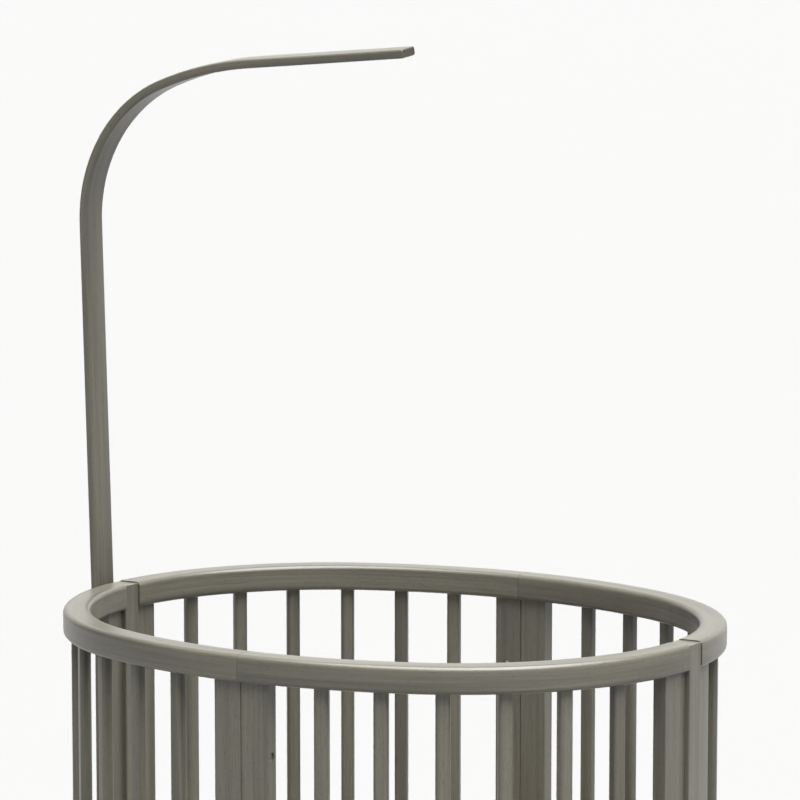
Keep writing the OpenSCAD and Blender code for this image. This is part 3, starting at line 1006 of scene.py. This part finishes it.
ROD_FOOT_X = 423.5 * MM
ROD_LEAN = math.radians(1.6)
ROD_BELOW = 74 * MM
ROD_STRAIGHT = 447 * MM / math.cos(ROD_LEAN)
ROD_BENDS = ((182.6 * MM, math.radians(70.2), 26), (438.2 * MM, math.radians(17), 8))
ROD_ARM = 217.5 * MM
ROD_T = 12 * MM
ROD_TIP_W = 29 * MM
# The rod's taper: where along X it starts and its length, and the share of the thickness at
# its start and how much of it is lost
TAPER_FROM, TAPER_RUN = -0.415, 0.455
THICK_FOOT, THICK_LOST = 0.965, 0.075
# How far the rod is drawn towards the inside of its bend: all of it, and its twisted part
ROD_IN, TWIST_IN = 0.25 * MM, 0.8 * MM
# The station where the twist starts, and how many stations it isn't spread over
TWIST_FROM, TWIST_SPARE = 16, 20
ROD_FRAME = (
    Matrix.Translation((CENTRE_X - ROD_FOOT_X, 0, RIM_TOP))
    @ Matrix.Rotation(-ROD_LEAN, 4, "Y")
)


def rod_stations():
    """Points along the rod's middle, each with the rod's turn there, in its own frame."""
    stations = [(Vector((0, 0, z)), 0.0) for z in (-ROD_BELOW, 0, ROD_STRAIGHT)]
    point, turn = stations[-1]
    for radius, angle, steps in ROD_BENDS:
        centre = point - radius * Vector((-math.cos(turn), 0, math.sin(turn)))
        for k in range(1, steps + 1):
            a = turn + angle * k / steps
            stations.append((centre + radius * Vector((-math.cos(a), 0, math.sin(a))), a))
        point, turn = stations[-1]
    ahead = Vector((math.sin(turn), 0, math.cos(turn)))
    for k in range(1, 9):
        stations.append((point + ahead * ROD_ARM * k / 8, turn))
    return stations


class CRADLE_OT_canopy_rod(bpy.types.Operator):
    """Makes the bent canopy rod, which narrows and twists slightly towards its tip"""

    bl_idname = "cradle.canopy_rod"
    bl_label = "Canopy rod"

    def execute(self, context):
        low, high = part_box("canopy_rod")
        foot_w = high.y - low.y
        stations = rod_stations()
        bm = bmesh.new()
        store = bm.verts.layers.float_vector.new("grain")
        cut = bm.verts.layers.float.new("end_grain")
        rounded_face(bm, ROD_T, foot_w, 3.2 * MM, 5)
        bmesh.ops.delete(bm, geom=bm.faces[:], context="FACES_ONLY")
        new, edges = bm.verts[:], bm.edges[:]
        length, before = 0.0, Matrix.Identity(4)
        for k, (point, turn) in enumerate(stations):
            if k:
                length += (point - stations[k - 1][0]).length
                grown = bmesh.ops.extrude_edge_only(bm, edges=edges)["geom"]
                new = [g for g in grown if isinstance(g, bmesh.types.BMVert)]
                edges = [
                    g
                    for g in grown
                    if isinstance(g, bmesh.types.BMEdge)
                    and all(v in new for v in g.verts)
                ]
            run = (ROD_FRAME @ point).x - CENTRE_X
            reach = min(max((run - TAPER_FROM) / TAPER_RUN, 0), 1)
            width = (foot_w + (ROD_TIP_W - foot_w) * reach) / foot_w
            thick = THICK_FOOT - THICK_LOST * reach
            bent = min(max((k - TWIST_FROM) / (len(stations) - TWIST_SPARE), 0), 1)
            twist = sizes().rod_twist * bent * bent * (3 - 2 * bent)
            inwards = TWIST_IN * bent + (ROD_IN if k > 1 else 0)
            now = (
                ROD_FRAME
                @ Matrix.Translation(point)
                @ Matrix.Rotation(turn, 4, "Y")
                @ Matrix.Translation((inwards, 0, 0))
                @ Matrix.Rotation(twist, 4, "Z")
                @ Matrix.Diagonal((thick, width, 1, 1))
            )
            bmesh.ops.transform(bm, matrix=now @ before.inverted(), verts=new)
            for v in new:
                near = now.inverted() @ v.co
                v[store] = (near.x + 7.7, near.y, length)
            before = now
        ends = fill_ends(bm)
        bmesh.ops.recalc_face_normals(bm, faces=bm.faces[:])
        round_edges(bm, edges_of(ends), 1.6 * MM, 3)
        for end in [face for face in bm.faces if len(face.verts) > 4]:
            for v in end.verts:
                v[cut] = 1
        piece = to_object("beech_canopy_rod", bm)
        complete(piece, stained_beech, "rod", ["canopy_rod"])
        return {"FINISHED"}


class CRADLE_OT_rod_holder(bpy.types.Operator):
    """Makes the slotted block that holds the rod, and its clamp screw"""

    bl_idname = "cradle.rod_holder"
    bl_label = "Rod holder"

    def execute(self, context):
        low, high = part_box("rod_holder")
        wall = CENTRE_X - HALF_LEN - 0.5 * MM
        bm = bmesh.new()
        block(bm, low, (wall, high.y, high.z), 3 * MM, 3)
        cutter = bmesh.new()
        play = 0.35 * MM
        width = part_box("canopy_rod")[1].y
        block(
            cutter,
            (-ROD_T / 2 - play, -width - play, -ROD_BELOW - play),
            (ROD_T / 2 + play, width + play, 30 * MM),
        )
        bmesh.ops.transform(cutter, matrix=ROD_FRAME, verts=cutter.verts[:])
        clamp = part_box("rod_clamp_screw")
        middle = (clamp[0].z + clamp[1].z) / 2
        outside = low.x - MM
        rod_between(cutter, (outside, 0, middle), (low.x + 13 * MM, 0, middle), 3.1 * MM)
        start = CENTRE_X - ROD_FOOT_X + 11.5 * MM
        for z in (low.z + 17 * MM, low.z + 47 * MM):
            rod_between(cutter, (start, 0, z), (outside, 0, z), 4.8 * MM)
        stained_piece("rod_holder", bm, upright_grain(seed_of("rod_holder")), cutter)

        bm = bmesh.new()
        face = clamp[0].x + 0.4 * MM
        made = bmesh.ops.create_circle(bm, cap_ends=True, segments=44, radius=6.9 * MM)
        for i, v in enumerate(made["verts"]):
            v.co *= 1 if i % 2 else 0.955
        bm.faces.ensure_lookup_table()
        raise_face(bm, bm.faces[0], 3 * MM)
        bmesh.ops.recalc_face_normals(bm, faces=bm.faces[:])
        round_edges(bm, sharp(bm, 80), 0.35 * MM)
        screw = bmesh.new()
        join_in(screw, bm)
        rod_between(screw, (0, 0, 2 * MM), (0, 0, clamp[1].x - face), 3 * MM)
        turn = Matrix.Translation((face, 0, middle)) @ Matrix.Rotation(
            math.pi / 2, 4, "Y"
        )
        bmesh.ops.transform(screw, matrix=turn, verts=screw.verts[:])
        knob = to_object("knurled_clamp_screw", screw)
        coin = bmesh.new()
        block(
            coin,
            (face - MM, -0.8 * MM, middle - 5 * MM),
            (face + 1.2 * MM, 0.8 * MM, middle + 5 * MM),
        )
        carve(knob, coin)
        complete(knob, moulded_plastic, "cradle", ["rod_clamp_screw"])
        return {"FINISHED"}


# A foot block's bores: the caster's socket, and the heads of the two screws beside it
FOOT_SOCKET_R, FOOT_SOCKET_DEEP = 8.05 * MM, 41 * MM
FOOT_SCREW_IN, FOOT_HEAD_DEEP = 16 * MM, 7 * MM


class CRADLE_OT_foot_blocks(bpy.types.Operator):
    """Makes the block under each pair of panels, which carries a caster"""

    bl_idname = "cradle.foot_blocks"
    bl_label = "Foot blocks"

    def execute(self, context):
        for caster in CASTERS:
            name = "foot_block_" + caster
            low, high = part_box(name)
            middle = (low + high) / 2
            bm = standing_block(low, high, 4 * MM, 5)
            round_edges(bm, sharp(bm, 60, is_level), 2.5 * MM, 4)
            cutter = bmesh.new()
            long_x = high.x - low.x > high.y - low.y
            half = max(high.x - low.x, high.y - low.y) / 2 - FOOT_SCREW_IN
            bores = [(0, FOOT_SOCKET_DEEP, FOOT_SOCKET_R)]
            bores += [(side, FOOT_HEAD_DEEP, HEAD_BORE) for side in (-half, half)]
            for off, deep, radius in bores:
                x = middle.x + (off if long_x else 0)
                y = middle.y + (0 if long_x else off)
                rod_between(cutter, (x, y, low.z - MM), (x, y, low.z + deep), radius)
            stained_piece(name, bm, lying_grain(seed_of(name), long_x), cutter)
        return {"FINISHED"}


# The base board's holes, the oval that they keep inside, and its bolts' places and seats
HOLE_R, HOLE_FLARE = 12 * MM, 1.3 * MM
HOLE_PITCH = 58 * MM
HOLES_OUT_X, HOLES_OUT_Y = 0.266, 0.223
BOARD_BOLTS = (
    (0, -279.8 * MM),
    (0, 279.8 * MM),
    (-348.5 * MM, 0),
    (348.5 * MM, 0),
)
SEAT_R, SEAT_DEEP = 6.7 * MM, 3.2 * MM
BATTEN_W = 24 * MM


class CRADLE_OT_mattress_base(bpy.types.Operator):
    """Makes the ventilated oval board and the battens under it"""

    bl_idname = "cradle.mattress_base"
    bl_label = "Mattress base"

    def execute(self, context):
        low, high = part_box("base_board")
        edge = HALF_LEN - (high.x - low.x) / 2
        bm = bmesh.new()
        last = bm.verts.new((HALF_LEN - edge, 0, low.z))
        for centre, angle, steps in (
            ((END_C, 0, 0), JOIN, 24),
            ((0, -SIDE_C, 0), math.pi / 2 - JOIN, 16),
        ):
            swept = bmesh.ops.spin(
                bm,
                geom=[last],
                cent=centre,
                axis=(0, 0, 1),
                angle=angle,
                steps=steps,
                use_duplicate=False,
            )
            last = [g for g in swept["geom_last"] if isinstance(g, bmesh.types.BMVert)][0]
        for axis in ("X", "Y"):
            half = bm.verts[:] + bm.edges[:]
            bmesh.ops.mirror(bm, geom=half, axis=axis, merge_dist=EVEN)
        bmesh.ops.remove_doubles(bm, verts=bm.verts[:], dist=EVEN)
        bmesh.ops.translate(bm, vec=(CENTRE_X, 0, 0), verts=bm.verts[:])
        face = bmesh.ops.contextual_create(bm, geom=bm.edges[:])["faces"][0]
        raise_face(bm, face, high.z - low.z)
        bmesh.ops.recalc_face_normals(bm, faces=bm.faces[:])
        round_edges(bm, sharp(bm, 60, is_level), 2 * MM, 3)
        piece = to_object("ventilated_base_board", bm)
        cutter = bmesh.new()
        thick = high.z - low.z
        half_hole = [
            (HOLE_R, thick / 2 - HOLE_FLARE),
            (HOLE_R + 0.3 * HOLE_FLARE, thick / 2 - 0.3 * HOLE_FLARE),
            (HOLE_R + HOLE_FLARE, thick / 2),
            (HOLE_R + HOLE_FLARE, thick),
            (0, thick),
        ]
        outline = [(r, -h) for r, h in half_hole] + half_hole[::-1]
        for i in range(-5, 6):
            for j in range(-4, 5):
                x, y = i * HOLE_PITCH, j * HOLE_PITCH
                if math.hypot(x / HOLES_OUT_X, y / HOLES_OUT_Y) >= 1:
                    continue
                drill = bmesh.new()
                turn_outline(drill, outline, 40)
                here = Matrix.Translation((CENTRE_X + x, y, low.z + thick / 2))
                join_in(cutter, drill, here)
        sunk = high.z - SEAT_DEEP
        for x, y in BOARD_BOLTS:
            x += CENTRE_X
            rod_between(cutter, (x, y, sunk), (x, y, high.z + 5 * MM), SEAT_R)
            rod_between(cutter, (x, y, low.z - 5 * MM), (x, y, sunk + MM), BOLT_BORE)
        carve(piece, cutter)
        complete(piece, plywood, "cradle", ["base_board"])

        low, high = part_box("base_battens")
        bm = bmesh.new()
        block(bm, low, (high.x, low.y + BATTEN_W, high.z), 2 * MM, 3)
        block(bm, (low.x, high.y - BATTEN_W, low.z), high, 2 * MM, 3)
        battens = to_object("beech_base_battens", bm)
        complete(battens, bare_beech, "cradle", ["base_battens"])
        return {"FINISHED"}


# ---- Casters, shaped about the stem with the trail along X ----

TYRE = span("tyre_front")
BLOCK = span("foot_block_front")
WHEEL_R = (TYRE[1].z - TYRE[0].z) / 2
TRAIL = abs(TYRE[0].x + TYRE[1].x - BLOCK[0].x - BLOCK[1].x) / 2
WHEEL_W = 20 * MM
TYRE_IN = 21 * MM
CROWN_Z = 64 * MM
CHEEK_Y = WHEEL_W / 2 + 1.2 * MM
CHEEK_T = 3 * MM
PIN = (38 * MM, 62 * MM)


def caster_place(caster):
    low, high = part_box("foot_block_" + caster)
    middle = (low + high) / 2
    turn = Matrix.Rotation(math.radians(CASTERS[caster]), 4, "Z")
    return Matrix.Translation((middle.x, middle.y, 0)) @ turn


def wheel_place(caster):
    return (
        caster_place(caster)
        @ Matrix.Translation((TRAIL, 0, WHEEL_R))
        @ Matrix.Rotation(math.pi / 2, 4, "X")
    )


def runs_through(edge):
    """Whether an edge of a plate goes from one of its faces to the other."""
    return abs(edge.verts[0].co.y - edge.verts[1].co.y) > EVEN


def runs_round(edge):
    return not runs_through(edge)


def plate(bm, outline, thickness, radius):
    """A flat plate in the XZ plane, from -thickness/2 to thickness/2 along Y."""
    part = bmesh.new()
    verts = [part.verts.new((x * MM, 0, z * MM)) for x, z in outline]
    face = part.faces.new(verts)
    made = bmesh.ops.extrude_face_region(part, geom=[face])
    far = [g for g in made["geom"] if isinstance(g, bmesh.types.BMVert)]
    bmesh.ops.translate(part, vec=(0, thickness, 0), verts=far)
    bmesh.ops.translate(part, vec=(0, -thickness / 2, 0), verts=part.verts[:])
    bmesh.ops.recalc_face_normals(part, faces=part.faces[:])
    round_edges(part, sharp(part, 30, runs_through), 1.6 * MM, 4)
    bmesh.ops.recalc_face_normals(part, faces=part.faces[:])
    round_edges(part, sharp(part, 60, runs_round), radius, 3)
    join_in(bm, part)


def fork_shape(braked):
    """Two cheeks with bosses, the crown over the wheel, and the stem with its collar."""
    bm = bmesh.new()
    back = 44 if braked else 32
    wheel_x, wheel_z = TRAIL / MM, WHEEL_R / MM
    rounded_end = [
        (
            wheel_x + 9 * math.cos(math.radians(a)),
            wheel_z + 9 * math.sin(math.radians(a)),
        )
        for a in range(-160, 21, 15)
    ]
    outline = rounded_end + [
        (back, PIN[1] / MM - 4),
        (back, 68),
        (back - 4, 71),
        (-13, 71),
        (-15, 62),
    ]
    for side in (-1, 1):
        cheek = bmesh.new()
        plate(cheek, outline, CHEEK_T, 0.7 * MM)
        boss = bmesh.new()
        ring = [(3, -0.4), (6.2, -0.4), (6.2, 0.3), (3, 0.3)]
        turn_outline(boss, [(r * MM, h * MM) for r, h in ring], 40)
        turn = Matrix.Rotation(math.pi / 2, 4, "X")
        axle = Matrix.Translation((TRAIL, side * (CHEEK_T / 2 - 0.1 * MM), WHEEL_R))
        join_in(cheek, boss, axle @ turn)
        join_in(bm, cheek, Matrix.Translation((0, side * (CHEEK_Y + CHEEK_T / 2), 0)))
    crown = bmesh.new()
    block(
        crown,
        (-14 * MM, -CHEEK_Y - 1.5 * MM, CROWN_Z),
        ((24 if braked else 28) * MM, CHEEK_Y + 1.5 * MM, CROWN_Z + 7 * MM),
        1.2 * MM,
        3,
    )
    join_in(bm, crown)
    collar = bmesh.new()
    turn_outline(
        collar,
        [
            (0, CROWN_Z + MM),
            (11 * MM, CROWN_Z + MM),
            (11 * MM, 74.5 * MM),
            (9.8 * MM, 76 * MM),
            (5.5 * MM, 76 * MM),
            (5.5 * MM, 112 * MM),
            (4.5 * MM, 114 * MM),
            (0, 114 * MM),
        ],
        48,
    )
    join_in(bm, collar)
    return bm


def hub_shape():
    """Dished wheel centre with a bored boss and ribs."""
    bm = bmesh.new()
    half = WHEEL_W / 2
    profile = [
        (3.05 * MM, half),
        (7 * MM, half),
        (7.6 * MM, half - 3 * MM),
        (16.6 * MM, half - 3 * MM),
        (17.4 * MM, half - 0.2 * MM),
        (TYRE_IN - 0.6 * MM, half - 0.2 * MM),
        (TYRE_IN - 0.05 * MM, half - 0.8 * MM),
    ]
    turn_outline(bm, [(r, -h) for r, h in profile] + profile[::-1], 72)
    for side in (-1, 1):
        for k in range(6):
            rib = bmesh.new()
            block(
                rib,
                (6.8 * MM, -0.9 * MM, side * (half - 3.2 * MM) - 0.2 * MM),
                (17.2 * MM, 0.9 * MM, side * (half - 0.9 * MM)),
                0.3 * MM,
            )
            join_in(bm, rib, Matrix.Rotation(math.radians(60 * k), 4, "Z"))
    return bm


def tyre_shape():
    """Soft tyre with rounded shoulders and two fine grooves."""
    bm = bmesh.new()
    half, r = WHEEL_W / 2, WHEEL_R
    profile = [
        (TYRE_IN, -half),
        (r - 4 * MM, -half),
        (r - 1.6 * MM, -half + 0.8 * MM),
        (r - 0.5 * MM, -half + 2.2 * MM),
        (r, -half + 4 * MM),
        (r, -2.9 * MM),
        (r - 0.7 * MM, -2.5 * MM),
        (r, -2.1 * MM),
    ]
    mirrored = [(radius, -h) for radius, h in reversed(profile)]
    turn_outline(bm, profile + mirrored, 96)
    return bm


def pedal_shape():
    """Rocking brake pedal: a boss, a shoe under it and a ribbed foot pad."""
    bm = bmesh.new()
    width = 2 * CHEEK_Y - 0.8 * MM
    x, z = PIN[0] / MM, PIN[1] / MM
    nose = [(-3.6, 1.6), (-3.6, -1.6), (-2, -3.4), (1.5, -6), (3.5, -6.5), (8, -3.6)]
    outline = nose + [(28, -5.5), (30, -0.5), (8, 6), (-2, 3.4)]
    plate(bm, [(x + px, z + pz) for px, pz in outline], width, 0.8 * MM)
    pad_fall, pad_run = 6.5, 22
    slope = Matrix.Rotation(math.atan2(pad_fall, pad_run), 4, "Y")
    reach = width / 2 - 2 * MM
    for k in range(5):
        rib = bmesh.new()
        block(rib, (-0.6 * MM, -reach, -MM), (0.6 * MM, reach, 0), 0.4 * MM)
        along = 5.5 + 3 * k
        top = z + 6 - along * pad_fall / pad_run
        join_in(bm, rib, Matrix.Translation(((x + 8 + along) * MM, 0, top * MM)) @ slope)
    rod_between(
        bm,
        (PIN[0], -CHEEK_Y - CHEEK_T, PIN[1]),
        (PIN[0], CHEEK_Y + CHEEK_T, PIN[1]),
        2 * MM,
    )
    return bm


class CRADLE_OT_casters(bpy.types.Operator):
    """Makes the fork, hub, tyre and brake pedal of each caster"""

    bl_idname = "cradle.casters"
    bl_label = "Casters"

    def execute(self, context):
        for caster in CASTERS:
            braked = caster in BRAKED
            stem, wheel = caster_place(caster), wheel_place(caster)
            pieces = [
                ("fork_", fork_shape(braked), stem, moulded_plastic, "swivel_", "plastic"),
                ("hub_", hub_shape(), wheel, moulded_plastic, "wheel_", "plastic"),
                ("tyre_", tyre_shape(), wheel, caster_rubber, "wheel_", "tyre"),
            ]
            if braked:
                pieces.append(
                    ("brake_", pedal_shape(), stem, moulded_plastic, "pedal_", "plastic")
                )
            for kind, bm, place, maker, body, slot in pieces:
                bmesh.ops.transform(bm, matrix=place, verts=bm.verts[:])
                piece = to_object("caster_" + kind + caster, bm)
                complete(piece, maker, body + caster, [kind + caster], 30)
        return {"FINISHED"}


class CRADLE_OT_hardware(bpy.types.Operator):
    """Gives the bolts, nuts, screws, brackets, sockets and dowels their finish"""

    bl_idname = "cradle.hardware"
    bl_label = "Hardware"

    def execute(self, context):
        steel = [
            "foot_block_screws",
            "panel_bolts",
            "barrel_nuts",
            "base_brackets",
            "base_bolts",
            "threaded_inserts",
            "rod_holder_screws",
            "caster_sockets",
        ]
        steel += ["axle_" + caster for caster in CASTERS]
        for maker, nodes in ((zinc_steel, steel), (bare_beech, ["dowels"])):
            for name in nodes:
                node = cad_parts[name]
                node.data.materials.clear()
                node.data.materials.append(finish(maker))
        return {"FINISHED"}


# ---- Studio ----


def floor_finish():
    """Matt floor, near white under the overhead glow, with a barely visible unevenness."""
    f = new_finish("studio_floor")
    tone = f.noise(f.place(), 1.7, 3, 0.5)
    pale = colours().floor
    return f.surface(
        {
            "Base Color": f.blend(tone, shade(pale, 0.985), pale),
            "Roughness": 0.9,
            "Specular IOR Level": 0.2,
        }
    )


# The surroundings' even light, and the glows in it: direction, cosines at the rim and where
# the glow is full, and strength
ALL_ROUND = 0.28
GLOWS = (
    ((0.22, -0.08, 1), 0.76, 0.93, 12.5),
    ((-0.5, 0.85, 0.15), 0.55, 0.98, 0.85),
    ((-0.9, -0.43, 0), 0.15, 0.9, -0.25),
)


def surroundings(world):
    """Soft white all round: a strong glow overhead, some from behind, darker to the left."""
    f = Finish(world)
    way = f.value("ShaderNodeTexCoord", {}, {}, "Generated")

    def towards(aim, low, high):
        sockets = {0: way, 1: Vector(aim).normalized()}
        dot = f.value("ShaderNodeVectorMath", {"operation": "DOT_PRODUCT"}, sockets, "Value")
        return dot.between(low, high)

    level = ALL_ROUND
    for aim, rim, full, strength in GLOWS:
        level = level + towards(aim, rim, full) * strength
    sky = f.node("ShaderNodeBackground", {}, {"Color": (1, 1, 1, 1), "Strength": level})
    f.node("ShaderNodeOutputWorld", {}, {"Surface": sky.outputs["Background"]})


def area_light(name, energy, size, place, aim):
    data = bpy.data.lights.new(name, "AREA")
    data.shape = "RECTANGLE"
    data.size, data.size_y = size
    data.energy = energy
    light = bpy.data.objects.new(name, data)
    light.location = place
    light.rotation_euler = (Vector(aim) - Vector(place)).to_track_quat("-Z", "Y").to_euler()
    bpy.context.scene.collection.objects.link(light)


# The camera: its place from the middle of the rim, how far it looks down and is turned
EYE = Vector((2.590379, -4.249560, 0.872134))
EYE_DOWN, EYE_TURN = 0.13301, 0.54551
LENS, SHIFT = 189.85, 0.05
FLOOR_R = 150


class CRADLE_OT_studio(bpy.types.Operator):
    """Makes the floor, the soft light and the camera"""

    bl_idname = "cradle.studio"
    bl_label = "Studio"

    def execute(self, context):
        scene = context.scene
        camera = bpy.data.cameras.new("camera")
        camera.sensor_width = 36
        camera.lens = LENS
        camera.shift_y = SHIFT
        camera.clip_start, camera.clip_end = 0.1, 500
        eye = bpy.data.objects.new("camera", camera)
        eye.location = Vector((CENTRE_X, 0, RIM_TOP)) + EYE
        eye.rotation_euler = (math.pi / 2 - EYE_DOWN, 0, EYE_TURN)
        scene.collection.objects.link(eye)
        scene.camera = eye
        scene.view_settings.view_transform = "Standard"

        bm = bmesh.new()
        bmesh.ops.create_circle(bm, cap_ends=True, segments=96, radius=FLOOR_R)
        floor = to_object("floor", bm)
        floor.data.materials.append(finish(floor_finish))

        world = bpy.data.worlds.new("studio")
        scene.world = world
        surroundings(world)
        area_light("key", 30, (1.3, 1.0), (2.3, -1.3, 4.0), (0, 0, 0.8))
        return {"FINISHED"}


ORDER = (
    "studio",
    "top_rails",
    "low_rails",
    "panels",
    "posts",
    "slats",
    "canopy_rod",
    "rod_holder",
    "foot_blocks",
    "mattress_base",
    "casters",
    "hardware",
)


class CRADLE_PT_panel(bpy.types.Panel):
    """Lists the steps that make the cradle"""

    bl_idname = "CRADLE_PT_panel"
    bl_label = "Oval cradle"
    bl_space_type = "VIEW_3D"
    bl_region_type = "UI"
    bl_category = "Cradle"

    def draw(self, context):
        for group in (sizes(), colours()):
            for name in group.__annotations__:
                self.layout.prop(group, name)
        for step in ORDER:
            self.layout.operator("cradle." + step)


CLASSES = (
    CradleSizes,
    CradleColours,
    CRADLE_OT_studio,
    CRADLE_OT_top_rails,
    CRADLE_OT_low_rails,
    CRADLE_OT_panels,
    CRADLE_OT_posts,
    CRADLE_OT_slats,
    CRADLE_OT_canopy_rod,
    CRADLE_OT_rod_holder,
    CRADLE_OT_foot_blocks,
    CRADLE_OT_mattress_base,
    CRADLE_OT_casters,
    CRADLE_OT_hardware,
    CRADLE_PT_panel,
)


def register():
    for cls in CLASSES:
        bpy.utils.register_class(cls)
    bpy.types.Scene.cradle_sizes = bpy.props.PointerProperty(type=CradleSizes)
    bpy.types.Scene.cradle_colours = bpy.props.PointerProperty(type=CradleColours)


def unregister():
    del bpy.types.Scene.cradle_colours
    del bpy.types.Scene.cradle_sizes
    for cls in reversed(CLASSES):
        bpy.utils.unregister_class(cls)


def main():
    register()
    for step in ORDER:
        getattr(bpy.ops.cradle, step)()


if __name__ == "__main__":
    main()
